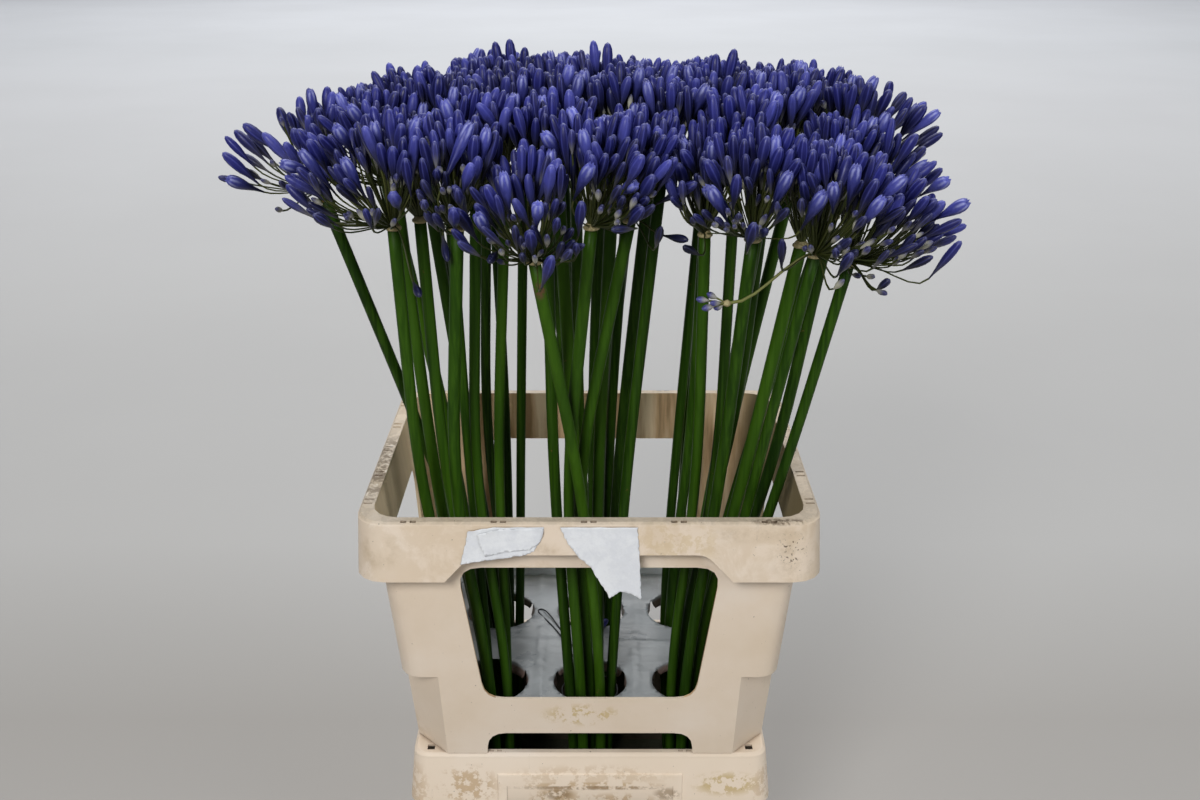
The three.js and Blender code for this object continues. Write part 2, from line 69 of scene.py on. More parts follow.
# Each bunch: its hole's column and row, and its flowers. A flower has the place where its stalk ends
# and its umbel begins (across, deep, height above the rim), and how far across the stalk is as it
# passes the rim, in millimetres.
BUNCHES = {
    "left_front": (-1, -1, [
        (-173, -128, 273, -168), (-116, -131, 273, -136), (-156, -80, 268, -146),
        (-104, -78, 286, -117), (-184, -36, 288, -160), (-136, -24, 303, -124),
        (-79, -30, 306, -95),
    ]),
    "left_rear": (-1, 1, [
        (-263, 6, 272, -184), (-210, 54, 286, -158), (-166, 30, 298, -134),
        (-102, 26, 308, -116), (-172, 108, 286, -140), (-106, 118, 302, -96),
        (-68, 78, 306, -78),
    ]),
    "middle_front": (0, -1, [
        (-47, -153, 249, -6), (3, -131, 274, -24), (38, -94, 271, -15),
        (-38, -92, 284, -36), (-30, -38, 306, -14), (24, -38, 310, 8),
        (68, -54, 302, 37),
    ]),
    "middle_rear": (0, 1, [
        (-44, 18, 312, -22), (12, 18, 312, 2), (62, 4, 310, 33),
        (-14, 72, 309, -14), (42, 66, 308, 22), (-30, 126, 293, -16),
        (48, 124, 292, 18),
    ]),
    "right_front": (1, -1, [
        (106, -106, 261, 108), (146, -135, 264, 128), (201, -140, 251, 159),
        (197, -87, 246, 154), (240, -100, 231, 191), (136, -62, 283, 130),
        (232, -43, 262, 187),
    ]),
    "right_rear": (1, 1, [
        (116, -6, 305, 110), (172, -26, 296, 140), (250, 18, 290, 178),
        (118, 54, 304, 98), (182, 36, 300, 160), (216, 84, 290, 158),
        (128, 114, 290, 110),
    ]),
}
SIDE_SHOOT_OF = "right_front_3"

BUDS_PER_UMBEL = 94
BUDS_OF_OUTER = {"left_rear_1": 50, "left_rear_2": 74, "right_rear_3": 74}

# Each kind of bud: least and most length and radius in mm, paleness, share of the umbel's reach
# at its tip, and tone from dark to light.
Kind = namedtuple("Kind", "length radius pale out tone")
KINDS = {
    "parting": Kind((42, 52), (5.2, 6.4), (0, 0), (0.96, 1.09), (0.55, 1.0)),
    "ripe": Kind((36, 48), (3.9, 5.3), (0, 0.15), (0.86, 1.09), (0.2, 0.9)),
    "shut": Kind((22, 34), (2.9, 3.9), (0.0, 0.5), (0.74, 1.0), (0.0, 0.6)),
    "young": Kind((9, 18), (2.1, 3.0), (0.6, 1), (0.45, 0.86), (0.1, 0.6)),
}

# An umbel is flatter on top the taller it stands: by this share of its reach, unless it is named.
FLATTER_FROM, LEAST_FLATTENED, FLATTER_BY = 285, 0.08, 1 / 250
FLATTENED = {
    "left_front_5": 0.16, "left_rear_2": 0.19, "left_rear_5": 0.17,
    "middle_front_7": 0.19, "middle_rear_3": 0.20, "middle_rear_5": 0.20,
    "middle_rear_7": 0.16,
}

WIDEST = 1.24                       # radians from the middle of an umbel's dome to its edge
BUD_BALLS = ((0.4, 0.75), (0.65, 1.0), (0.9, 0.7))      # place along the bud, share of its radius
CLOSENESS = 0.9                     # of the sum of their radii: the least distance of two buds

# Buds that stand out: their kind, and where the foot and then the tip are from the umbel's base,
# in mm.
STANDING_OUT = {
    "left_rear_1": [
        ("parting", -52, -22, 8, -76, -59, 29), ("ripe", -5, -64, 36, -37, -64, 73),
        ("young", -32, -36, -7, -36, -48, -2),
    ],
    "left_front_1": [
        ("parting", -65, 14, 45, -88, -26, 63), ("ripe", -55, 6, 47, -63, -25, 83),
        ("ripe", -39, 13, 53, -55, -21, 86), ("parting", -31, 14, 59, -40, -21, 94),
        ("shut", -46, -47, 17, -52, -65, 29), ("shut", 21, -40, -38, 29, -59, -45),
    ],
    "left_front_5": [("parting", -14, -17, 49, -29, -50, 86)],
    "left_front_2": [("parting", -7, -49, 46, 20, -33, 100)],
    "left_front_4": [
        ("ripe", 29, -11, 58, 9, -41, 95), ("shut", -26, -46, -21, -20, -67, -39),
    ],
    "left_rear_7": [
        ("ripe", -9, 0, 62, -12, 0, 108), ("ripe", -20, 2, 60, -27, 4, 105),
        ("ripe", 0, -6, 58, 4, -8, 101),
    ],
    "middle_rear_2": [
        ("ripe", -4, 0, 62, -8, 0, 107), ("ripe", 5, 0, 60, 6, 0, 105),
        ("shut", -14, 4, 64, -20, 4, 98),
    ],
    "right_rear_1": [
        ("ripe", 12, 0, 64, 21, 0, 109), ("ripe", 2, 2, 60, 4, 4, 104),
    ],
    "middle_front_1": [
        ("parting", -32, -42, 28, -42, -68, 60), ("ripe", -56, -7, 43, -64, -33, 75),
        ("shut", 21, -44, 15, 27, -56, 33), ("shut", -29, -43, 21, -34, -64, 18),
    ],
    "middle_front_4": [("parting", 20, -32, 44, 1, -68, 79)],
    "middle_front_2": [
        ("parting", -15, -46, 35, 1, -75, 72), ("shut", 36, -58, 14, 17, -76, 18),
    ],
    "middle_front_3": [
        ("parting", -15, -56, 36, 3, -89, 54), ("ripe", 21, -46, 26, 55, -72, 51),
        ("shut", 21, -60, -9, 25, -75, 14), ("shut", 29, -49, -1, 49, -68, 0),
    ],
    "right_front_1": [
        ("parting", 23, -63, 27, -9, -82, 63), ("ripe", -10, -23, 57, -26, -51, 87),
        ("shut", -9, -53, -4, -24, -65, 7),
    ],
    "right_front_2": [("parting", 34, -46, 20, 48, -73, 60)],
    "right_front_3": [
        ("shut", -36, -47, 3, -39, -62, 32), ("ripe", 27, -33, 34, 50, -62, 67),
        ("young", 7, -61, -12, 13, -73, 0), ("shut", 15, -48, 7, 24, -66, 23),
    ],
    "right_front_5": [
        ("shut", 33, -38, 18, 44, -57, 44), ("ripe", 42, -13, 41, 64, -41, 71),
        ("parting", 68, -9, 43, 92, -41, 69), ("young", -6, -48, 5, -1, -60, 7),
        ("young", 6, -50, 4, 11, -61, 7), ("shut", 15, -57, -6, 22, -70, 7),
        ("young", 14, -59, -6, 21, -71, -6),
    ],
    "right_front_7": [("parting", 81, -3, 21, 97, -39, 45)],
}

rng = random.Random(11)
UP = Vector((0, 0, 1))


# ---- the camera, the floor and the light ----

def camera():
    """A view 22 degrees down on the front."""
    data = bpy.data.cameras.new("camera")
    data.lens = 37.5
    data.sensor_width = 36
    shot = add_object("camera", data)
    shot.location = (0.0106, -1.2146, 1.1072)
    shot.rotation_euler = (math.radians(67.81), 0, 0)
    bpy.context.scene.camera = shot
    bpy.context.scene.view_settings.view_transform = "Standard"


def soft_light(name, place, aim, size, power, colour=(1, 1, 1)):
    data = bpy.data.lights.new(name, "AREA")
    data.shape = "DISK"
    data.size = size
    data.energy = power
    data.color = colour
    lamp = add_object(name, data)
    lamp.location = place
    lamp.rotation_euler = (Vector(aim) - Vector(place)).to_track_quat("-Z", "Y").to_euler()


def studio():
    """A floor painted darker near and paler into the distance, a painted fall-off of light, under three
    soft lights and a dim sky.
    """
    world = bpy.data.worlds.new("studio")
    world.use_nodes = True
    sky = world.node_tree.nodes["Background"]
    sky.inputs["Color"].default_value = (0.93, 0.96, 1.0, 1)
    sky.inputs["Strength"].default_value = 0.12
    bpy.context.scene.world = world
    soft_light("key", (-0.7, -2.1, 2.0), (0, 0, 0.6), 0.9, 45, (1, 0.99, 0.97))
    soft_light("fill", (1.7, -1.3, 1.5), (0, 0, 0.5), 1.4, 15, (0.94, 0.97, 1))
    soft_light("far", (0, 8, 9), (0, 9, 0), 14.0, 1650)

    bpy.ops.mesh.primitive_plane_add(size=80, location=(0, 20, 0))
    floor = bpy.context.object
    floor.name = "floor"
    shade = Shade("floor_paint")
    away = shade.math("LOGARITHM", shade.math("ADD", shade.axis("Y"), 21.2), math.e)
    # Painted light: the floor's colour runs from dark near the object to pale far off.
    painted_falloff = shade.times(shade.math("SUBTRACT", away, 0.3), 0.43)
    shade.colour = shade.ramp(painted_falloff, (0.04, (0.330, 0.316, 0.300)), (0.17, (0.445, 0.441, 0.434)),
                              (0.41, (0.480, 0.480, 0.480)), (0.73, (0.500, 0.508, 0.526)),
                              (0.86, (0.53, 0.545, 0.57)), (1.0, (0.68, 0.70, 0.74)))
    shade.layers(((0.3, 0.3, 0.3), (shade.noise(0.9, detail=4), 0.3, 0.7, 0.0, 0.08)))
    floor.data.materials.append(shade.finish(0.85))


# ---- materials ----

class Shade:
    """A material's nodes, with a short call for each kind that this script uses. Its colour is laid
    on in layers."""

    def __init__(self, name):
        self.material = bpy.data.materials.new(name)
        self.material.use_nodes = True
        self.tree = self.material.node_tree
        self.surface = self.tree.nodes["Principled BSDF"]
        self.colour = None

    def put(self, socket, value):
        """Links an output, or sets a number, a place or a colour."""
        if isinstance(value, bpy.types.NodeSocket):
            self.tree.links.new(value, socket)
        elif isinstance(value, tuple) and len(socket.default_value) == 4:
            socket.default_value = (*value, 1)
        else:
            socket.default_value = value

    def node(self, kind, settings=(), numbered=(), **named):
        """A node with its settings, and with values for its inputs by number or by name."""
        made = self.tree.nodes.new("ShaderNode" + kind)
        for name, value in dict(settings).items():
            setattr(made, name, value)
        for key, value in {**dict(numbered), **named}.items():
            self.put(made.inputs[key], value)
        return made

    def place(self):
        """A point's place on the part, in metres."""
        return self.node("TexCoord").outputs["Object"]

    def axis(self, name):
        return self.node("SeparateXYZ", Vector=self.place()).outputs[name]

    def stretched(self, *scale):
        return self.node("Mapping", Vector=self.place(), Scale=scale).outputs["Vector"]

    def noise(self, scale, detail=3, roughness=0.55, distortion=0, where=None):
        made = self.node("TexNoise", Vector=where or self.place(), Scale=scale, Detail=detail,
                         Roughness=roughness, Distortion=distortion)
        return made.outputs["Fac"]

    def value(self, name):
        """A number that the mesh holds at each point."""
        return self.node("Attribute", {"attribute_name": name}).outputs["Fac"]

    def ramp(self, factor, *stops):
        made = self.node("ValToRGB", Fac=factor)
        places = made.color_ramp.elements
        while len(places) < len(stops):
            places.new(0.5)
        for place, (position, colour) in zip(places, stops):
            place.position = position
            place.color = (*colour, 1) if isinstance(colour, tuple) else (colour,) * 3 + (1,)
        return made.outputs["Color"]

    def patches(self, scale, low, high, most=1.0, **noise):
        """Ragged patches of noise: 0 up to the lower level, the most from the higher one."""
        return self.ramp(self.noise(scale, **noise), (low, 0.0), (high, most))

    def mix(self, factor, first, second):
        return self.node("Mix", {"data_type": "RGBA"}, {0: factor, 6: first, 7: second}).outputs[2]

    def math(self, operation, first, second=0.0, clamp=False):
        settings = {"operation": operation, "use_clamp": clamp}
        return self.node("Math", settings, {0: first, 1: second}).outputs[0]

    def vector_math(self, operation, *vectors):
        return self.node("VectorMath", {"operation": operation}, enumerate(vectors)).outputs

    def between(self, value, low, high, out_low=0.0, out_high=1.0):
        """Runs smoothly from one output to the other as value goes from low to high."""
        numbered = enumerate((value, low, high, out_low, out_high))
        return self.node("MapRange", {"interpolation_type": "SMOOTHSTEP"}, numbered).outputs["Result"]

    def any_of(self, *masks):
        return reduce(partial(self.math, "MAXIMUM"), masks)

    def times(self, *masks):
        """The product of masks: outputs, numbers, or values with what between takes after them."""
        masks = [self.between(*mask) if isinstance(mask, tuple) else mask for mask in masks]
        return reduce(partial(self.math, "MULTIPLY"), masks)

    def spots(self, *rows):
        """1 in blurred ellipsoids on the part, 0 outside them. A row has the middle and half the size
        along each axis in mm, and how strong the spot is where that isn't 1."""
        masks = []
        for row in rows:
            middle, half = (tuple(mm * MM for mm in row[i:i + 3]) for i in (0, 3))
            off = self.vector_math("SUBTRACT", self.place(), middle)[0]
            share = self.vector_math("LENGTH", self.vector_math("DIVIDE", off, half)[0])["Value"]
            masks.append(self.times(self.between(share, 0.4, 1.0, 1.0, 0.0), *row[6:]))
        return self.any_of(*masks)

    def faces_inward(self):
        """1 on faces that look toward the upright line through the origin, 0 on the others."""
        level = self.vector_math("MULTIPLY", self.place(), (1, 1.3, 0))[0]
        normal = self.node("NewGeometry").outputs["True Normal"]
        return self.between(self.vector_math("DOT_PRODUCT", normal, level)["Value"], -0.03, -0.05)

    def painted_occlusion(self, distance, low, high, most, samples=8):
        """Mask for painted shade: most where little light gets in, as in a crevice or a crowd, 0 in the
        open.
        """
        light = self.node("AmbientOcclusion", {"samples": samples}, Distance=distance).outputs["AO"]
        return self.between(light, low, high, most, 0.0)

    def layers(self, *rows):
        """Lays colours over each other. A row has a colour, and the masks whose product says how
        strongly it covers those before it."""
        for colour, *masks in rows:
            self.colour = self.mix(self.times(*masks), self.colour, colour)

    def bump(self, height, distance, strength=1.0, under=None):
        made = self.node("Bump", Height=height, Distance=distance, Strength=strength)
        if under:
            self.put(made.inputs["Normal"], under)
        return made.outputs["Normal"]

    def finish(self, roughness, normal=None, **others):
        others.update(Base_Color=self.colour, Roughness=roughness)
        if normal:
            others["Normal"] = normal
        for name, value in others.items():
            self.put(self.surface.inputs[name.replace("_", " ")], value)
        return self.material


def container_plastic():
    """Cream moulded plastic: yellowed in clouds, darker and dirty on its rim, stained from use, with
    grime and painted shade and light inside.
    """
    shade = Shade("container_plastic")
    x, y, z = (shade.axis(name) for name in "XYZ")
    clouds = shade.noise(7, detail=5, roughness=0.6)
    shade.colour = shade.ramp(clouds, (0.36, (0.73, 0.605, 0.47)), (0.52, (0.77, 0.65, 0.525)),
                              (0.66, (0.80, 0.695, 0.585)))

    ragged = shade.patches(75, 0.50, 0.53, detail=9, roughness=0.72)
    dusty = shade.patches(30, 0.46, 0.66, detail=9, roughness=0.75)
    sheltered = shade.between(z, BUCKET_HEIGHT, BUCKET_HEIGHT - 7 * MM)
    yellow = shade.spots((-8, -137, 315, 50, 30, 18), (145, -138, 226, 45, 30, 18),
                         (85, -172, 534, 55, 30, 34, 0.45))
    brown = shade.times(shade.spots(
        (-130, -138, 224, 42, 30, 30), (-36, -139, 208, 36, 30, 18), (30, -139, 204, 55, 30, 14),
        (0, -139, 225.5, 100, 30, 6), (0, -139, 236, 110, 30, 16, 0.5),
        (-185, -130, 210, 20, 30, 50, 0.6), (187, -130, 215, 20, 30, 50, 0.6)), ragged)
    dirty = shade.spots((0, -139, 221.5, 100, 30, 3.5), (-34, -139, 214, 20, 30, 10, 0.9),
                        (82, -139, 214, 18, 30, 10, 0.8))
    caked = shade.patches(110, 0.45, 0.52, 0.75, detail=7, roughness=0.75)
    smudged = shade.spots((-200, -168, 526, 30, 30, 28), (200, -168, 516, 35, 30, 35),
                          (160, -172, 544, 60, 30, 12), (-50, -172, 526, 30, 20, 12))
    on_band = shade.between(z, RIM - 70 * MM, RIM - 60 * MM)
    blotches = shade.patches(20, 0.48, 0.56, 0.3, detail=8, roughness=0.68, distortion=0.4)
    worn_behind = shade.times(shade.patches(5, 0.50, 0.60), (y, -0.125, -0.10))
    shade.layers(
        ((0.95, 0.81, 0.66), sheltered, 0.5),
        ((0.56, 0.41, 0.17), yellow, ragged, 0.75),
        ((0.48, 0.305, 0.13), brown, 0.62),
        ((0.27, 0.165, 0.07), dirty, caked),
        ((0.40, 0.30, 0.18), smudged, dusty, 0.5),
        ((0.56, 0.42, 0.26), on_band, blotches),
        ((0.50, 0.35, 0.18), worn_behind, ragged, 0.3),
        ((0.40, 0.30, 0.18), worn_behind, dusty, 0.22))

    top = shade.between(z, RIM - 3.5 * MM, RIM - 1 * MM)
    from_middle = shade.math("ABSOLUTE", shade.math("ADD", y, 0.045))
    left = shade.times((x, -0.195, -0.21), (from_middle, 0.045, 0.095, 1.0, 0.0))
    chipped = shade.noise(95, detail=7, roughness=0.75, distortion=0.6)
    bare = shade.ramp(chipped, (0.36, 1.0), (0.42, 0.0))
    grime = shade.ramp(chipped, (0.46, 0.0), (0.53, 1.0))
    shade.layers(
        ((0.46, 0.39, 0.29), top, 0.46),
        ((0.85, 0.81, 0.73), top, left, bare, 0.8),
        ((0.15, 0.105, 0.06), top, grime, shade.math("ADD", shade.times(left, 0.6), 0.16)))

    inward = shade.faces_inward()
    in_collar = shade.between(z, BUCKET_HEIGHT, BUCKET_HEIGHT + 4 * MM)
    # Painted shade: the bucket's inside under the collar is painted near black.
    painted_shade_in_bucket = shade.between(z, BUCKET_HEIGHT - 1 * MM, BUCKET_HEIGHT - 3 * MM)
    streaks = shade.noise(60, detail=4, where=shade.stretched(1, 1, 0.04))
    # Inside the collar: real streaks of grime on a brown darker than outside, and that darkness is
    # painted shade.
    grime_and_shade_inside = shade.ramp(streaks, (0.38, (0.34, 0.20, 0.09)), (0.50, (0.70, 0.47, 0.26)),
                       (0.64, (0.95, 0.74, 0.50)))
    # Painted light on the left inner wall, painted shade on the right one.
    painted_light_left_wall = shade.mix(shade.between(x, -0.13, -0.18, 0.0, 0.8), grime_and_shade_inside, (0.97, 0.78, 0.52))
    shaded = shade.mix(shade.between(x, 0.165, 0.195), painted_light_left_wall, (0.25, 0.19, 0.095))
    specks = shade.patches(330, 0.745, 0.76, 0.85, detail=2)
    splash = shade.times(shade.spots((192, -170, 528, 20, 30, 22)),
                         shade.patches(300, 0.60, 0.63, 0.9, detail=5))
    grit = shade.patches(190, 0.44, 0.53, 0.85, detail=6, roughness=0.8)
    hairlines = shade.noise(55, detail=2, distortion=1.2, where=shade.stretched(1, 1, 0.12))
    shade.layers(
        (shaded, inward, in_collar, 0.94),
        ((0.07, 0.055, 0.035), inward, painted_shade_in_bucket, 0.9),
        # Painted shade and dirt in crevices and in the rim's slots.
        ((0.22, 0.13, 0.07), shade.painted_occlusion(8 * MM, 0.2, 0.85, 0.75)),
        ((0.10, 0.065, 0.04), shade.any_of(specks, splash)),
        ((0.12, 0.08, 0.045), shade.spots((180, -166, 556, 36, 7, 5)), grit),
        ((0.36, 0.27, 0.18), shade.ramp(hairlines, (0.718, 0.0), (0.724, 0.5), (0.73, 0.0))))

    rough = shade.math("ADD", shade.between(shade.noise(14, detail=4), 0.3, 0.7, 0.42, 0.56),
                       shade.times(brown, 0.25), clamp=True)
    grain = shade.bump(shade.noise(700, detail=2), 0.00012, 0.4)
    wavy = shade.bump(shade.noise(26, detail=2), 0.0004, 0.25, under=grain)
    scarred = shade.bump(shade.times(top, left, chipped), 0.0015, 0.8, under=wavy)
    normal = shade.bump(brown, 0.0003, 0.4, under=scarred)
    return shade.finish(rough, normal, Specular_IOR_Level=0.4)


def film_plastic():
    """Thin clear-grey film, creased, a little cloudy, with painted shade and brown reflection where it
    hangs in its holes.
    """
    shade = Shade("film")
    z = shade.axis("Z")
    cloud = shade.noise(16, detail=5)
    shade.colour = shade.ramp(cloud, (0.35, (0.265, 0.285, 0.30)), (0.65, (0.365, 0.39, 0.41)))
    # Painted shade and a brown painted reflection on the film that hangs in the holes.
    shade.layers(((0.17, 0.10, 0.075), (z, FILM - 5 * MM, FILM - 0.5 * MM, 0.85, 0.0)),
                 # Painted light: the strip turned up along the walls is painted near white.
                 ((0.86, 0.88, 0.90), (z, FILM + 2 * MM, FILM + 10 * MM)))
    creases = shade.noise(22, distortion=0.5, where=shade.stretched(1, 3.2, 1))
    return shade.finish(shade.between(cloud, 0.3, 0.7, 0.24, 0.4), shade.bump(creases, 0.0016, 0.6),
                        Alpha=0.92)


def still_water():
    shade = Shade("water")
    cloud = shade.noise(12, detail=4)
    shade.colour = shade.ramp(cloud, (0.3, (0.16, 0.19, 0.13)), (0.7, (0.24, 0.27, 0.19)))
    return shade.finish(shade.between(cloud, 0.3, 0.7, 0.03, 0.08),
                        shade.bump(shade.noise(30, detail=2), 0.0004, 0.2), Alpha=0.45)


def label_paper():
    """White label paper with its face partly torn off: fibres, creases with painted shade, a greyish
    tear.
    """
    shade = Shade("label_paper")
    torn = shade.patches(48, 0.42, 0.56, detail=6, roughness=0.7)
    shade.colour = shade.mix(torn, (0.77, 0.79, 0.82), (0.70, 0.72, 0.76))
    # Painted shade in the paper's creases and hollows.
    shade.layers(((0.30, 0.31, 0.33), shade.painted_occlusion(3 * MM, 0.3, 0.8, 0.5)))
    fibres = shade.bump(shade.noise(900, detail=2), 0.0001, 0.5)
    crumpled = shade.bump(shade.noise(95, detail=5, distortion=0.8), 0.0009, 0.55, under=fibres)
    return shade.finish(shade.between(torn, 0, 1, 0.62, 0.86), crumpled)


def elastic_rubber():
    shade = Shade("elastic_rubber")
    dusty = shade.noise(160, detail=4)
    shade.colour = shade.ramp(dusty, (0.35, (0.006, 0.006, 0.008)), (0.7, (0.022, 0.022, 0.027)))
    return shade.finish(shade.between(dusty, 0.3, 0.7, 0.5, 0.7),
                        shade.bump(shade.noise(900, detail=2), 0.0001, 0.5))


def stem_skin():
    """Waxy green skin, each stem of its own tone, with faint lengthwise stripes that are partly
    painted highlight, and painted shade between stems.
    """
    shade = Shade("stem")
    shade.colour = shade.ramp(shade.value("tone"), (0.0, (0.007, 0.022, 0.001)),
                              (0.45, (0.015, 0.048, 0.002)), (1.0, (0.036, 0.094, 0.004)))
    stripes_and_highlights = shade.noise(260, where=shade.stretched(1, 1, 0.03))
    clouds = shade.noise(18, detail=4, where=shade.stretched(1, 1, 0.35))
    scab = shade.spots((-43, -155, 779, 8, 14, 11))
    shade.layers(
        # Faint lengthwise stripes, painted lighter as highlight stripes as well as the skin's own.
        ((0.06, 0.15, 0.009), (stripes_and_highlights, 0.35, 0.7, 0.0, 0.34)),
        ((0.008, 0.030, 0.003), (clouds, 0.5, 0.75, 0.0, 0.4)),
        ((0.16, 0.085, 0.03), shade.patches(60, 0.72, 0.76, 0.8, detail=4)),
        ((0.105, 0.055, 0.03), scab, shade.patches(160, 0.44, 0.52, 0.9, detail=5)),
        # Painted shade between neighbouring stems.
        ((0.003, 0.009, 0.001), shade.painted_occlusion(20 * MM, 0.3, 0.95, 0.75, samples=6)))
    normal = shade.bump(stripes_and_highlights, 0.0003, 0.4, under=shade.bump(clouds, 0.0008, 0.2))
    return shade.finish(shade.between(clouds, 0.3, 0.7, 0.38, 0.52), normal, Specular_IOR_Level=0.12)


def petal():
    """Violet-blue petals with pale ribs and edges, darkened by painted shade deep inside the umbel;
    young buds are pale green at their foot. The stalks are dark olive."""
    shade = Shade("petal")
    along, tone, rib, pale, deep = (shade.value(n) for n in ("along", "tone", "rib", "pale", "deep"))
    shade.colour = shade.ramp(tone, (0.0, (0.004, 0.0045, 0.055)), (0.35, (0.008, 0.009, 0.105)),
                              (0.7, (0.021, 0.024, 0.195)), (1.0, (0.095, 0.105, 0.49)))
    soft = shade.noise(240, detail=4, where=shade.stretched(1, 1, 0.4))
    shade.layers(
        ((0.009, 0.006, 0.055), (along, 0.0, 0.6, 0.85, 0.0)),
        ((0.12, 0.135, 0.54), (rib, 0.5, 0.95, 0.0, 0.35)),
        ((0.008, 0.009, 0.09), (soft, 0.4, 0.75, 0.0, 0.4)),
        ((0.26, 0.28, 0.62), (along, 0.90, 1.0, 0.0, 0.22)),
        ((0.42, 0.45, 0.80), (rib, 1.2, 1.9, 0.0, 0.6)))
    reach = shade.math("ADD", along, shade.between(pale, 0.55, 0.95, 0.15, -0.25))
    greenish = shade.mix(shade.between(reach, 0.25, 0.8, 1.0, 0.1), shade.colour, (0.60, 0.59, 0.46))
    # Painted shade: buds deep inside the umbel are darkened, pale young ones less.
    not_pale = shade.math("SUBTRACT", 1.0, shade.times(pale, 0.8))
    shade.layers((greenish, pale, 0.9), ((0.003, 0.004, 0.006), (deep, 0.45, 0.99, 0.90, 0.0), not_pale))
    stalk = shade.mix(shade.between(tone, 0.0, 2.0), (0.025, 0.035, 0.006), (0.17, 0.18, 0.055))
    shade.colour = shade.mix(shade.between(along, -0.04, 0.06), stalk, shade.colour)
    return shade.finish(shade.between(soft, 0.3, 0.7, 0.34, 0.5), shade.bump(soft, 0.0003, 0.35),
                        Specular_IOR_Level=0.28)


def bract_scar():
    shade = Shade("bract_scar")
    dry = shade.noise(300, detail=4)
    shade.colour = shade.ramp(dry, (0.3, (0.20, 0.15, 0.06)), (0.7, (0.46, 0.41, 0.22)))
    return shade.finish(shade.between(dry, 0.3, 0.7, 0.6, 0.8), shade.bump(dry, 0.0004, 0.7))


# ---- small helpers ----

def add_object(name, data):
    made = bpy.data.objects.new(name, data)
    bpy.context.scene.collection.objects.link(made)
    return made


def declare(made, slot, *replaced):
    """The object rides on the body and stands for the CAD nodes it replaces. The slot is not used."""
    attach(made, "root")
    if replaced:
        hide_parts(*replaced)


def piece(name, points, faces, slot, *replaced, values=None, scarred=()):
    """A smooth mesh in its slot's look. values are numbers for each point, by name. scarred has a 1
    for each face that shows a dry scar in place of that look."""
    mesh = bpy.data.meshes.new(name)
    mesh.from_pydata([tuple(p) for p in points], [], faces)
    mesh.polygons.foreach_set("use_smooth", [True] * len(mesh.polygons))
    mesh.materials.append(looks[slot])
    if any(scarred):
        mesh.materials.append(looks["bract_scar"])
        mesh.polygons.foreach_set("material_index", scarred)
    for key, numbers in (values or {}).items():
        mesh.attributes.new(key, "FLOAT", "POINT").data.foreach_set("value", numbers)
    mesh.update()
    made = add_object(name, mesh)
    declare(made, slot, *replaced)
    return made


def modify(made, **modifiers):
    """Applies modifiers in the order given, each a kind with its settings."""
    for kind, settings in modifiers.items():
        modifier = made.modifiers.new(kind, kind)
        for name, value in settings.items():
            setattr(modifier, name, value)
    evaluated = made.evaluated_get(bpy.context.evaluated_depsgraph_get())
    baked = bpy.data.meshes.new_from_object(evaluated)
    made.modifiers.clear()
    made.data = baked


def middle_of(places):
    places = [Vector(p) for p in places]
    return sum(places[1:], places[0]) / len(places)


def on_circle(centre, radius, angle):
    return centre[0] + radius * math.cos(angle), centre[1] + radius * math.sin(angle)


def shifted(faces, start):
    return [tuple(start + v for v in face) for face in faces]


def ring_faces(rings, sides):
    """Quads round and between rings of points."""
    faces = []
    for start in range(0, (rings - 1) * sides, sides):
        for k in range(sides):
            a, b = start + k, start + (k + 1) % sides
            faces.append((a, b, b + sides, a + sides))
    return faces


def tube(centres, radii, sides, cap=True):
    """Points and faces of a tube of rings square to its line. A cap closes each end."""
    points = []
    side = None
    for i, centre in enumerate(centres):
        ahead = centres[min(i + 1, len(centres) - 1)] - centres[max(i - 1, 0)]
        ahead.normalize()
        if side is None:
            side = ahead.orthogonal().normalized()
        side = (side - ahead * side.dot(ahead)).normalized()
        other = ahead.cross(side)
        for k in range(sides):
            angle = math.tau * k / sides
            points.append(centre + radii[i] * (math.cos(angle) * side + math.sin(angle) * other))
    faces = ring_faces(len(centres), sides)
    if cap:
        faces += [tuple(range(sides))[::-1], tuple(range(len(points) - sides, len(points)))]
    return points, faces


# ---- the container ----

def object_of(form, name):
    mesh = bpy.data.meshes.new(name)
    form.to_mesh(mesh)
    form.free()
    return add_object(name, mesh)


def boxes_object(boxes):
    """One mesh of boxes, each given by its middle and its size in mm and its turn round X."""
    form = bmesh.new()
    for *lengths, turn in boxes:
        centre, size = (tuple(mm * MM for mm in length) for length in lengths)
        shape = Matrix.Translation(centre) @ Matrix.Rotation(turn, 4, "X") @ Matrix.Diagonal((*size, 1))
        bmesh.ops.create_cube(form, size=1, matrix=shape)
    return object_of(form, "cutters")


def moulded_copy(node, boxes):
    """The CAD node's shape with rounded edges as a mould leaves them, and with small cuts."""
    form = bmesh.new()
    form.from_mesh(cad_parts[node].data)
    bmesh.ops.remove_doubles(form, verts=form.verts, dist=0.02 * MM)
    bmesh.ops.dissolve_limit(form, angle_limit=math.radians(1.5), verts=form.verts, edges=form.edges)
    made = object_of(form, node + "_moulded")
    made.data.materials.append(looks["container_plastic"])
    cutters = boxes_object(boxes)
    modify(made, BEVEL={"width": 1 * MM, "segments": 2, "limit_method": "ANGLE",
                        "angle_limit": math.radians(38)},
           BOOLEAN={"operation": "DIFFERENCE", "solver": "EXACT", "object": cutters})
    bpy.data.objects.remove(cutters)
    made.data.polygons.foreach_set("use_smooth", [True] * len(made.data.polygons))
    modify(made, WEIGHTED_NORMAL={"weight": 100})
    declare(made, "container_plastic", node)


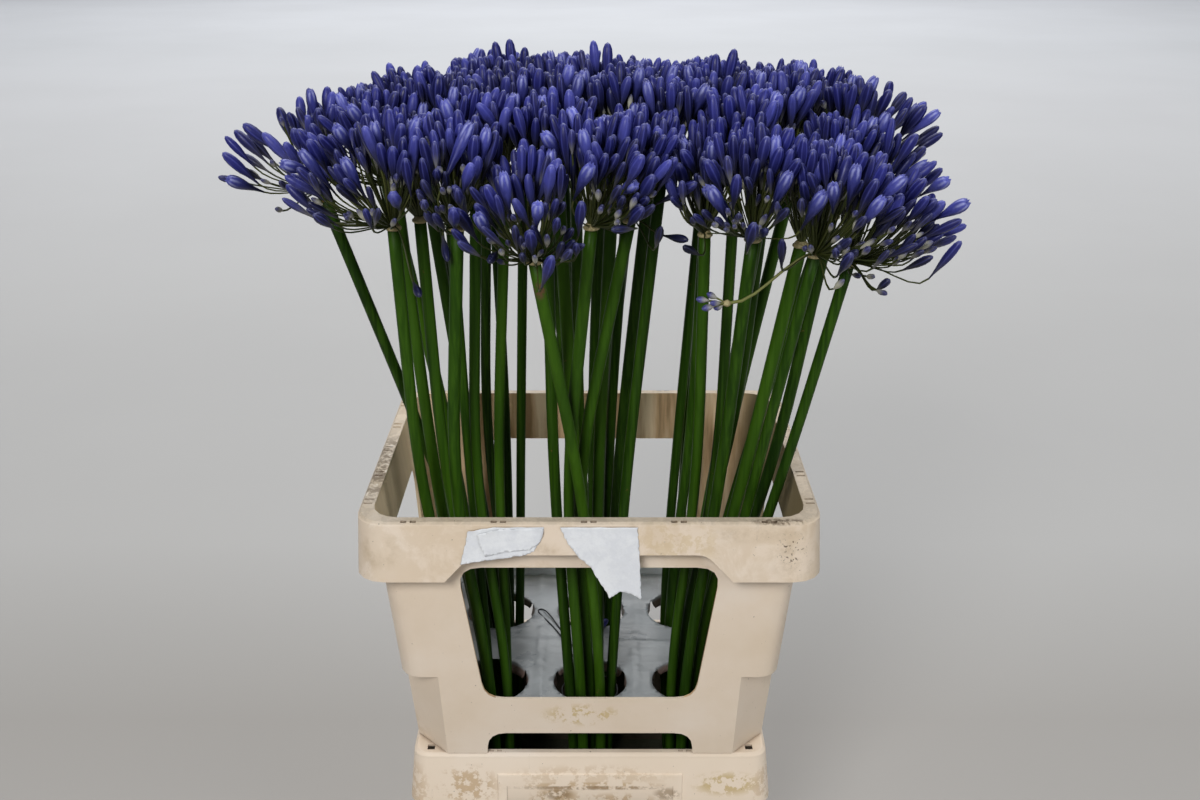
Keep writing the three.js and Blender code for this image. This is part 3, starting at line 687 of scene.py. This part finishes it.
def rim_slots():
    """Pairs of drain slots along the top of the collar's rim, on its long and its short sides."""
    level = RIM / MM - 0.6
    slots = []
    for k, side, step in itertools.product(range(-2, 3), (-1, 1), (-4.5, 4.5)):
        slots.append(((85.2 * k + step, side * 166.3, level), (5.8, 3, 7), 0))
        slots.append(((side * 214.8, 62 * k + step, level), (8.5, 2.8, 9), 0))
    return slots


def bucket_cuts():
    """Holes and slots in the bucket's rim, a groove down each end of its skirt and the bed for a
    label on its front."""
    lean = math.atan2(6, 59)
    cuts = [((0, -143.6, 210.3), (177, 10, 28.6), -lean)]
    for sx, sy in itertools.product((-1, 1), repeat=2):
        cuts.append(((sx * 169, sy * 121, 260), (8, 8, 8), 0))
        cuts.append(((sx * 167.5, sy * 137.2, 228), (1.3, 1.6, 70), sy * lean))
        cuts += [((sx * x, sy * 127, 261.5), (5, 3, 4), 0) for x in (96, 104.5)]
    return cuts


# ---- stems ----

class Stem:
    """A stalk through four points: foot, film hole, collar rim and the base of its umbel."""

    def __init__(self, name, points):
        self.name = name
        self.points = [Vector(p) for p in points]
        self.top = self.points[-1]
        self.crown = self.top + Vector((0, 0, 2.5 * MM))    # where the buds' stalks meet
        self.radius = rng.uniform(*STEM_RADIUS)
        self.tone = rng.random()

    def on_line(self, z):
        p = self.points
        i = 0
        while i < len(p) - 2 and z > p[i + 1].z:
            i += 1
        return p[i].lerp(p[i + 1], (z - p[i].z) / (p[i + 1].z - p[i].z))

    def point_at(self, z):
        """On the line, with its bends eased over several centimetres."""
        reach = min(90 * MM, z - self.points[0].z, self.top.z - z)
        return middle_of(self.on_line(z + reach * k / 3) for k in range(-3, 4))


def stems_of(name, column, row, flowers):
    """At the rim a stem is halfway between its hole and its umbel, front to back. The stem nearest
    the middle of its bunch there stands in the middle of the hole, the others round it in order."""
    hole = Vector((column * HOLE_PITCH_X, row * HOLE_Y, 0))
    tops = [Vector((x * MM, y * MM, RIM + z * MM)) for x, y, z, _ in flowers]
    at_rim = [Vector((f[3] * MM, (top.y + hole.y) / 2, RIM)) for f, top in zip(flowers, tops)]
    mean = middle_of(at_rim)
    turn = [math.atan2(p.y - mean.y, p.x - mean.x) for p in at_rim]
    middle = min(range(len(at_rim)), key=lambda i: (at_rim[i] - mean).length)
    ring = sorted((i for i in range(len(at_rim)) if i != middle), key=lambda i: turn[i])
    made = []
    for i, top in enumerate(tops):
        low = []
        for z, spread in STEM_SPREAD.items():
            reach = 0 if i == middle else spread
            angle = turn[ring[0]] + (0 if i == middle else math.pi / 3 * ring.index(i))
            low.append(hole + Vector((reach * math.cos(angle), reach * math.sin(angle), z)))
        made.append(Stem(f"{name}_{i + 1}", [*low, at_rim[i], top]))
    return made


def stems_piece(name, stems):
    steps = 30
    points, faces, tones = [], [], []
    for stem in stems:
        low, high = stem.points[0].z, stem.top.z
        centres = [stem.point_at(low + (high - low) * k / steps) for k in range(steps + 1)]
        radii = [stem.radius * (1.0 - 0.08 * math.sin(2.2 * k / steps + stem.tone)) for k in range(steps)]
        more, more_faces = tube(centres, [*radii, stem.radius * 0.94], 14)
        faces += shifted(more_faces, len(points))
        points += more
        tones += [stem.tone] * len(more)
    piece(name + "_smooth", points, faces, "stem", name, values={"tone": tones})


# ---- buds ----

class Form:
    """A bud's shape of length and width 1 along +Z, with its petals side by side, to be set many
    times. Each row has a place along the bud and a radius for the middle of a petal, the same for
    the groove between two, and how pale the groove is."""

    def __init__(self, rows, tip, sides=12):
        points, self.along, self.rib = [], [], []
        for along_petal, petal_radius, *groove in rows:
            for k in range(sides):
                along, radius, rib = groove if k % 2 else (along_petal, petal_radius, 1.0)
                points.append((*on_circle((0, 0), radius, math.tau * k / sides), along))
                self.along.append(along)
                self.rib.append(rib)
        end = len(points)
        self.points = np.array([*points, (0, 0, tip)])
        self.along.append(tip)
        self.rib.append(0.5)
        self.faces = ring_faces(len(rows), sides)
        self.faces += [(end - sides + k, end - sides + (k + 1) % sides, end) for k in range(sides)]


def closed_bud(profile, lobes, sides=12):
    """A bud still shut: its petals are only shallow lobes."""
    return Form([(along, r * (1 + lobes / 2), along, r * (1 - lobes / 2), 0.0) for along, r in profile],
                1.0, sides)


BUD_FORMS = {
    "ripe": closed_bud([(0.0, 0.17), (0.12, 0.24), (0.27, 0.45), (0.43, 0.76), (0.58, 0.97),
                        (0.73, 1.0), (0.87, 0.84), (0.96, 0.52)], 0.17),
    "shut": closed_bud([(0.0, 0.22), (0.14, 0.37), (0.32, 0.68), (0.52, 0.94), (0.71, 1.0),
                        (0.87, 0.78), (0.96, 0.44)], 0.16),
    "young": closed_bud([(0.0, 0.26), (0.16, 0.5), (0.36, 0.88), (0.58, 1.0), (0.78, 0.84),
                         (0.93, 0.46)], 0.12, sides=8),
    "parting": Form([(0.0, 0.15, 0.0, 0.14, 0.0), (0.12, 0.20, 0.12, 0.18, 0.0),
                     (0.26, 0.33, 0.26, 0.30, 0.0), (0.42, 0.58, 0.42, 0.52, 0.2),
                     (0.58, 0.84, 0.58, 0.75, 0.6), (0.72, 1.0, 0.72, 0.86, 1.4),
                     (0.84, 0.97, 0.83, 0.82, 1.8), (0.93, 0.80, 0.91, 0.66, 2.0),
                     (1.0, 0.46, 0.95, 0.36, 1.6)], 0.91),
}


class Cluster:
    """The points, faces and values of one umbel as it grows. The more it is crowded by others,
    the more painted shade it gets low on its sides."""

    def __init__(self, base, crowding=0.0):
        self.points, self.faces, self.scarred = [], [], []
        self.values = {"along": [], "tone": [], "rib": [], "pale": [], "deep": []}
        self.base = base
        self.crowding = crowding

    def add(self, points, faces, scarred=0, **values):
        """Adds points and faces. A value is a number for each point, or one for all."""
        # How far a point lies from the umbel's base, less low on a crowded umbel: this sets the petals'
        # painted shade.
        from_base = (np.array(points) - np.array(self.base)) / UMBEL_REACH
        rise = np.clip(from_base[:, 2] + 0.1, 0, 1)
        values["deep"] = np.linalg.norm(from_base, axis=1) * (1 - self.crowding * (1 - rise))
        self.faces += shifted(faces, len(self.points))
        self.points += list(points)
        self.scarred += [scarred] * len(faces)
        for key, numbers in values.items():
            self.values[key] += list(np.broadcast_to(numbers, len(points)))

    def bud(self, form, foot, axis, length, radius, tone, pale, turn):
        side = axis.orthogonal().normalized()
        first = math.cos(turn) * side + math.sin(turn) * axis.cross(side)
        turned = np.array([first * radius, axis.cross(first) * radius, axis * length])
        self.add(form.points @ turned + np.array(foot), form.faces, along=form.along, tone=tone,
                 rib=form.rib, pale=pale)

    def stalk(self, root, leaving, foot, axis, thick, tone):
        """A thin stalk that leaves the umbel's middle, curves up and meets the bud's foot."""
        span = (foot - root).length
        bend = root + leaving * span * 0.38
        before = foot - axis * span * 0.30
        steps, sides = 6, 4
        centres = []
        for k in range(steps + 1):
            t = k / steps
            centres.append((1 - t) ** 3 * root + 3 * t * (1 - t) ** 2 * bend
                           + 3 * t * t * (1 - t) * before + t ** 3 * foot)
        radii = [thick * (0.9 + 0.35 * (k / steps) ** 3) for k in range(steps + 1)]
        along = [k / steps - 1.0 for k in range(steps + 1) for _ in range(sides)]
        self.add(*tube(centres, radii, sides, cap=False), along=along, tone=tone, rib=0.2, pale=0)

    def scar(self, centres, radii, sides):
        self.add(*tube(centres, radii, sides), scarred=1, along=-0.9, tone=0.4, rib=0, pale=0)


class Crowd:
    """Where buds already are, so that none is set into another."""

    def __init__(self, cell):
        self.cell = cell
        self.cells = {}

    def key(self, point):
        return tuple(math.floor(c / self.cell) for c in point)

    def is_free(self, balls):
        """Whether none of these balls, each a middle and a radius, is set far into another."""
        for middle, radius in balls:
            for near in itertools.product(*((c - 1, c, c + 1) for c in self.key(middle))):
                for other, other_radius in self.cells.get(near, ()):
                    if (other - middle).length < CLOSENESS * (radius + other_radius):
                        return False
        return True

    def fill(self, balls):
        for middle, radius in balls:
            self.cells.setdefault(self.key(middle), []).append((middle, radius))


def room_to_side(base, others, direction):
    """How far an umbel spreads before it meets the next: to the line midway between their bases."""
    room = 1.0
    for other in others:
        toward = Vector((other.x - base.x, other.y - base.y))
        facing = toward.dot(direction)
        if facing > 0:
            room = min(room, toward.length_squared / 2 / facing)
    return room


def directions(stem, others, count):
    """Evenly spread directions over the umbel's dome, drawn in where the next umbel is near."""
    lean = ((stem.top - stem.points[-2]).normalized() + UP).normalized()
    tilt = UP.rotation_difference(lean)
    start = rng.uniform(0, math.tau)
    found = []
    for i in range(count):
        azimuth = start + i * math.pi * (3 - math.sqrt(5))
        share = (i + 0.5) / count
        polar = math.acos(1 - share * (1 - math.cos(WIDEST)))
        flat = Vector((math.cos(azimuth), math.sin(azimuth)))
        room = room_to_side(stem.top, others, flat) + 8 * MM
        if room < UMBEL_REACH * math.sin(WIDEST):
            polar *= math.asin(min(1.0, room / UMBEL_REACH)) / WIDEST
        direction = Vector((math.sin(polar) * flat.x, math.sin(polar) * flat.y, math.cos(polar)))
        found.append(tilt @ direction)
    rng.shuffle(found)
    return found


def bud_kind(direction):
    """Ripe buds crown an umbel. Low on its front and its back sit late, smaller ones."""
    if direction.z - 0.4 * abs(direction.y) < 0.31:
        shares = {"ripe": 0.06, "shut": 0.40, "young": 0.54}
    else:
        shares = {"parting": 0.08, "ripe": 0.50, "shut": 0.28, "young": 0.14}
    return rng.choices(list(shares), list(shares.values()))[0]


def balls_of(foot, axis, length, radius):
    """Three balls that fill a bud."""
    return [(foot + axis * length * t, radius * share) for t, share in BUD_BALLS]


def add_bud(cluster, stem, kind, foot, axis, length, radius, leaving):
    """A bud on its stalk, which leaves the umbel's middle in the direction given."""
    tone = rng.uniform(*KINDS[kind].tone)
    pale = rng.uniform(*KINDS[kind].pale)
    cluster.bud(BUD_FORMS[kind], foot, axis, length, radius, tone, pale, rng.uniform(0, math.tau))
    root = stem.crown + Vector((leaving.x, leaving.y, 0)) * stem.radius * 0.7
    cluster.stalk(root, leaving, foot + axis * 0.5 * MM, axis, 0.85 * MM, tone)


def standing_out(stem):
    """The kind, foot, axis, length and radius of each bud that stands out of an umbel."""
    found = []
    for kind, *place in STANDING_OUT.get(stem.name, ()):
        foot, tip = (stem.top + Vector(end) * MM for end in (place[:3], place[3:]))
        least, most = KINDS[kind].radius
        length = (tip - foot).length
        found.append((kind, foot, (tip - foot) / length, length, (0.3 * least + 0.7 * most) * MM))
    return found


def grow_buds(cluster, stem, others, crowd, count, flattened):
    made = 0
    for direction in directions(stem, others, 6 * count):
        if made == count:
            break
        kind = bud_kind(direction)
        look = KINDS[kind]
        length, radius = rng.uniform(*look.length) * MM, rng.uniform(*look.radius) * MM
        reach = UMBEL_REACH * (1 - flattened * direction.z ** 2)
        tip = stem.crown + direction * reach * rng.uniform(*look.out)
        wander = Vector((rng.gauss(0, 1), rng.gauss(0, 1), rng.gauss(0, 1))) * 0.12
        axis = (0.85 * direction + 0.28 * UP + wander).normalized()
        foot = tip - axis * length
        balls = balls_of(foot, axis, length, radius)
        if not crowd.is_free(balls):
            continue
        crowd.fill(balls)
        made += 1
        flat = Vector((direction.x, direction.y, 0))
        leaving = (flat * 1.1 + UP * max(direction.z, 0.0) * 0.8).normalized()
        add_bud(cluster, stem, kind, foot, axis, length, radius, leaving)


def bract_ring(cluster, stem):
    """The dry scar at the umbel's foot, where the sheath round the young buds fell off."""
    rings = [(-1.6, 1.02), (-0.6, 1.22), (0.8, 1.25), (2.0, 1.05), (4.5, 0.75)]
    cluster.scar([stem.top + Vector((0, 0, z * MM)) for z, _ in rings],
                 [stem.radius * share for _, share in rings], 14)


def side_shoot(cluster, base):
    """A withered shoot that hangs forward from the umbel's base, with a knot of small pale buds."""
    root = base + Vector((-1, -1, 4)) * MM
    end = base + Vector((-78, -19, -38)) * MM
    droop = Vector((-0.95, -0.15, 0.1)).normalized()
    cluster.stalk(root, ((end - root).normalized() + 0.2 * UP).normalized(), end, droop, 1.5 * MM, 2.0)
    cluster.scar([end - droop * 3 * MM, end, end + droop * 4 * MM], [1.8 * MM, 3.6 * MM, 1.6 * MM], 8)
    for *tip, length in ((-106, -22, -33, 12), (-101, -26, -41, 12), (-96, -15, -30, 10),
                         (-94, -28, -35, 11), (-90, -20, -43, 9)):
        turn = 0.3 * tip[0]
        tip = base + Vector(tip) * MM
        axis = (tip - end).normalized()
        foot = tip - axis * length * MM
        cluster.stalk(end, axis, foot, axis, 0.9 * MM, 1.4)
        cluster.bud(BUD_FORMS["young"], foot, axis, length * MM, 2.9 * MM, 0.75, 0.72, turn)


def umbel_piece(stem, others, crowd):
    neighbours = sum((other - stem.top).length < 90 * MM for other in others)
    cluster = Cluster(stem.top, 0.08 * min(neighbours, 4))
    for kind, foot, axis, length, radius in standing_out(stem):
        flat = Vector((foot.x - stem.top.x, foot.y - stem.top.y, 0)).normalized()
        add_bud(cluster, stem, kind, foot, axis, length, radius, (flat + 0.25 * UP).normalized())
    above = (stem.top.z - RIM) / MM - FLATTER_FROM
    flattened = FLATTENED.get(stem.name, LEAST_FLATTENED + FLATTER_BY * max(0.0, above))
    grow_buds(cluster, stem, others, crowd, BUDS_OF_OUTER.get(stem.name, BUDS_PER_UMBEL), flattened)
    bract_ring(cluster, stem)
    if stem.name == SIDE_SHOOT_OF:
        side_shoot(cluster, stem.top)
    node = "umbel_" + stem.name
    piece(node + "_buds", cluster.points, cluster.faces, "bud", node, values=cluster.values,
          scarred=cluster.scarred)


def flowers():
    """All stems and umbels. Gives the stems by bunch."""
    bunches = {name: stems_of(name, *bunch) for name, bunch in BUNCHES.items()}
    every = [stem for bunch in bunches.values() for stem in bunch]
    crowd = Crowd(2 * CLOSENESS * KINDS["parting"].radius[1] * MM)
    for stem in every:
        for _, *bud in standing_out(stem):
            crowd.fill(balls_of(*bud))
    for name, bunch in bunches.items():
        stems_piece("stems_" + name, bunch)
        for stem in bunch:
            umbel_piece(stem, [other.top for other in every if other is not stem], crowd)
    return bunches


# ---- the film, the labels and the elastic ----

def steps_along(outline, spacing, fewest):
    """Points along each side of a closed outline, with the side's own two ends."""
    for a, b in zip(outline, outline[1:] + outline[:1]):
        a, b = Vector(a), Vector(b)
        steps = max(fewest, round((b - a).length / spacing))
        for k in range(steps):
            yield a.lerp(b, k / steps), a, b


def in_a_hole(face, flat, holes):
    """Whether a face's middle lies in one of the round holes."""
    middle = middle_of(flat[v] for v in face)
    for hole in holes:
        centre = middle_of(hole)
        if (middle - centre).length < (Vector(hole[0]) - centre).length * 0.985:
            return True
    return False


def flat_mesh(outline, holes, spacing, jitter):
    """Even triangles over an outline with holes, as flat points and faces."""
    points, edges = [], []
    for loop in (outline, *holes):
        start = len(points)
        points += [Vector(p) for p in loop]
        edges += [(start + i, start + (i + 1) % len(loop)) for i in range(len(loop))]
    low, high = ([pick(p[k] for p in outline) for k in (0, 1)] for pick in (min, max))
    inner = random.Random(5)
    x = low[0] + spacing
    while x < high[0] - spacing / 2:
        y = low[1] + spacing
        while y < high[1] - spacing / 2:
            points.append(Vector([c + inner.uniform(-jitter, jitter) for c in (x, y)]))
            y += spacing
        x += spacing
    found = geometry.delaunay_2d_cdt(points, edges, [], 1, spacing * 0.02)
    flat = [tuple(p) for p in found[0]]
    return flat, [tuple(face) for face in found[2] if not in_a_hole(face, flat, holes)]


def film_level(x, y):
    """The film's height: shallow creases, ripples, three long folds, and a rise near the walls."""
    creases = noise.noise(Vector((x * 9, y * 26, 0.3))) * 1.3 * MM
    ripple = noise.noise(Vector((x * 45, y * 30, 2.1))) * 0.5 * MM
    fold = 1.6 * MM * math.exp(-((y - 0.004 + 0.03 * x) / (2.2 * MM)) ** 2)
    for across, turn in ((0.051, 0.04), (-0.056, -0.03)):
        fold += 1.8 * MM * math.exp(-((x - across - turn * y) / (3.2 * MM)) ** 2)
    to_wall = min(FILM_HALF[0] - abs(x), FILM_HALF[1] - y)
    rise = 12 * MM * max(0.0, 1 - to_wall / (32 * MM)) ** 2
    return FILM - 0.4 * MM + creases + ripple + fold + rise


def add_strip(points, faces, rows):
    """Quads over rows of equally many points."""
    start, width = len(points), len(rows[0])
    for row in rows:
        points.extend(row)
    for i in range(len(rows) - 1):
        for j in range(width - 1):
            a = start + width * i + j
            faces.append((a, a + 1, a + width + 1, a + width))


def hanging_flaps(points, faces, centre, draw):
    """Slit film hangs down round the edge of a hole in short flaps."""
    for k in range(6):
        middle = math.tau * (k + draw.uniform(-0.12, 0.12)) / 6
        half = draw.uniform(0.42, 0.5)
        drop = draw.uniform(9, 14) * MM
        lean = draw.uniform(0.04, 0.3)
        rows = []
        for i in range(4):
            t = i / 3
            reach = HOLE_RADIUS + 0.2 * MM - drop * lean * t * t
            angles = [middle + half * (1 - 0.25 * t * t) * (j / 4 - 1) for j in range(9)]
            ring = [on_circle(centre, reach, angle) for angle in angles]
            rows.append([(x, y, film_level(x, y) - drop * t) for x, y in ring])
        add_strip(points, faces, rows)


def film_piece():
    """Film pressed into the collar: creased, turned up along the walls, slit at its holes."""
    half_x, half_y = FILM_HALF
    corner = 37 * MM
    in_x, in_y = half_x - corner, half_y - corner
    outline = [(half_x, -in_y), (half_x, in_y), (in_x, half_y), (-in_x, half_y),
               (-half_x, in_y), (-half_x, -in_y), (-in_x, -half_y), (in_x, -half_y)]
    fine = [tuple(p) for p, _, _ in steps_along(outline, 6 * MM, 1)]
    centres = [(column * HOLE_PITCH_X, row * HOLE_Y) for row in (-1, 1) for column in (-1, 0, 1)]
    holes = [[on_circle(centre, HOLE_RADIUS, math.tau * k / 48) for k in range(48)] for centre in centres]
    flat, faces = flat_mesh(fine, holes, 5 * MM, 1.2 * MM)
    points = [(x, y, film_level(x, y)) for x, y in flat]
    draw = random.Random(8)
    for centre in centres:
        hanging_flaps(points, faces, centre, draw)

    last = next(i for i, p in enumerate(fine) if (Vector(p) - Vector(outline[5])).length < 1e-6)
    rows = []
    for i in range(5):
        t = i / 4
        row = []
        for p in (Vector(p) for p in fine[:last + 1]):
            height = (16.5 + 1.5 * noise.noise(Vector((p.x * 30, p.y * 30, 1)))) * MM
            out = 1 + (0.085 * height * t - 0.8 * MM * math.sin(math.pi * t)) / p.length
            row.append((p.x * out, p.y * out, film_level(p.x, p.y) + height * t))
        rows.append(row)
    add_strip(points, faces, rows)
    made = piece("film_sheet", points, faces, "film", "film")
    modify(made, SOLIDIFY={"thickness": 0.3 * MM, "offset": 0})


# Outlines on the band's front in mm: across from its middle, and down from the rim.
FOLDED_OVER = [
    (-105, 11), (-84, 5.5), (-43, 5), (-43, 11), (-47, 20), (-56, 27), (-76, 28.5), (-98, 34), (-103, 24),
]
LABELS = {
    "label_left": [
        (-114, 8), (-90, 4), (-42, 4), (-44, 14), (-52, 29), (-62, 33),
        (-91, 38), (-110, 40), (-122, 43), (-117, 22),
    ],
    "label_right": [
        (-27, 4), (46, 4), (48, 31), (50, 79), (40, 73), (30, 71), (20, 78),
        (9, 59), (2, 45), (-9, 36), (-20, 20),
    ],
}
UNTORN = 5.2                        # a side above this is still as it was cut


def torn_sheet(outline, lift, seed):
    """Paper on the band's front: a ragged outline, creases and an edge that lifts here and there."""
    ragged = []
    for p, a, b in steps_along(outline, 2.0, 2):
        across = Vector((-(b - a).y, (b - a).x)).normalized()
        straight = a.y < UNTORN and b.y < UNTORN
        wobble = 0 if straight else 1.2 * noise.noise(Vector((p.x * 0.33, p.y * 0.33, seed)))
        ragged.append(tuple(p + across * wobble))
    flat, faces = flat_mesh(ragged, [], 2.2, 0.45)
    edge = [Vector(p) for p in ragged]
    points = []
    for x, below in flat:
        gap = min((Vector((x, below)) - p).length for p in edge)
        lifted = noise.noise(Vector((x * 0.07, below * 0.07, seed))) + 0.3
        curl = 1.1 * math.exp(-gap / 3) * max(0, lifted)
        crease = 0.5 * abs(noise.noise(Vector((x * 0.06, below * 0.11, seed + 1))))
        hanging = max(0.0, below - 58) * 0.03
        out = 0.45 + lift + curl + crease + hanging
        points.append((x * MM, BAND_FRONT_Y - BAND_SLOPE * below * MM - out * MM, RIM - below * MM))
    return points, faces


def label_piece(name):
    """A torn remnant of a blank paper label. The left one has a part folded back over it."""
    points, faces = torn_sheet(LABELS[name], 0, 4)
    if name == "label_left":
        more, more_faces = torn_sheet(FOLDED_OVER, 0.9, 9)
        faces += shifted(more_faces, len(points))
        points += more
    made = piece(name + "_paper", points, faces, "label_paper", name)
    modify(made, SOLIDIFY={"thickness": 0.22 * MM})


def elastic_piece(stems):
    """A rubber band round the middle front bunch, under the film. Its spare loop comes up past the
    edge of the hole and lies on the film."""
    level = FILM - 12 * MM
    hole = Vector((0, -HOLE_Y, 0))
    across = [stem.point_at(level) for stem in stems]
    middle = middle_of(across)
    hug = max((p - middle).length + stem.radius for p, stem in zip(across, stems)) + 1.2 * MM
    loop_bend, loop_end = Vector((-37 * MM, 26 * MM, 0)), Vector((-60 * MM, 68 * MM, 0))
    toward = math.atan2(loop_bend.y - middle.y, loop_bend.x - middle.x)
    sideways = Vector((-math.sin(toward), math.cos(toward), 0))

    def around(centre, reach, angle, z):
        return Vector((*on_circle(centre, reach, angle), z))

    def on_film(place, away):
        spot = place + sideways * away
        return Vector((spot.x, spot.y, film_level(spot.x, spot.y) + 1.1 * MM))

    def strand(side):
        turn = toward + 0.1 * side
        return [around(hole, HOLE_RADIUS - 3 * MM, turn, FILM - 2.5 * MM),
                around(hole, HOLE_RADIUS - 1.6 * MM, turn, FILM + 1.9 * MM),
                around(hole, HOLE_RADIUS + 8 * MM, turn - 0.03 * side, FILM + 1.9 * MM),
                on_film(loop_bend, 2.6 * MM * side), on_film(loop_end, 2.8 * MM * side)]

    route = [around(middle, hug, toward + math.pi * (0.25 + 1.5 * i / 12), level) for i in range(13)]
    route += strand(-1) + [on_film(loop_end * 1.035, 0)] + strand(1)[::-1]
    data = bpy.data.curves.new("elastic_band", "CURVE")
    data.dimensions = "3D"
    data.bevel_depth = 0.8 * MM
    data.bevel_resolution = 2
    spline = data.splines.new("BEZIER")
    spline.bezier_points.add(len(route) - 1)
    for spot, place in zip(spline.bezier_points, route):
        spot.co = place
        spot.handle_left_type = spot.handle_right_type = "AUTO"
    spline.use_cyclic_u = True
    spline.resolution_u = 6
    data.materials.append(looks["elastic_rubber"])
    declare(add_object("elastic_band", data), "elastic_rubber", "elastic")


def fallen_bud():
    """One bud, still shut, lies on the film behind the middle front bunch."""
    cluster = Cluster(Vector())
    axis = Vector((0.55, 0.75, 0.1)).normalized()
    foot = Vector((0.004, 0.019, film_level(0.012, 0.03) + 4.6 * MM))
    cluster.bud(BUD_FORMS["shut"], foot, axis, 26 * MM, 4.4 * MM, 0.35, 0.1, 0.4)
    piece("fallen_bud", cluster.points, cluster.faces, "bud", values=cluster.values)


# ---- the scene ----

camera()
studio()
looks = {
    "container_plastic": container_plastic(), "film": film_plastic(), "water": still_water(),
    "label_paper": label_paper(), "elastic_rubber": elastic_rubber(), "stem": stem_skin(),
    "bud": petal(), "bract_scar": bract_scar(),
}
moulded_copy("collar", rim_slots())
moulded_copy("bucket", bucket_cuts())
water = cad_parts["water"]
water.data.materials.clear()
water.data.materials.append(looks["water"])
bunches = flowers()
film_piece()
for label in LABELS:
    label_piece(label)
elastic_piece(bunches["middle_front"])
fallen_bud()
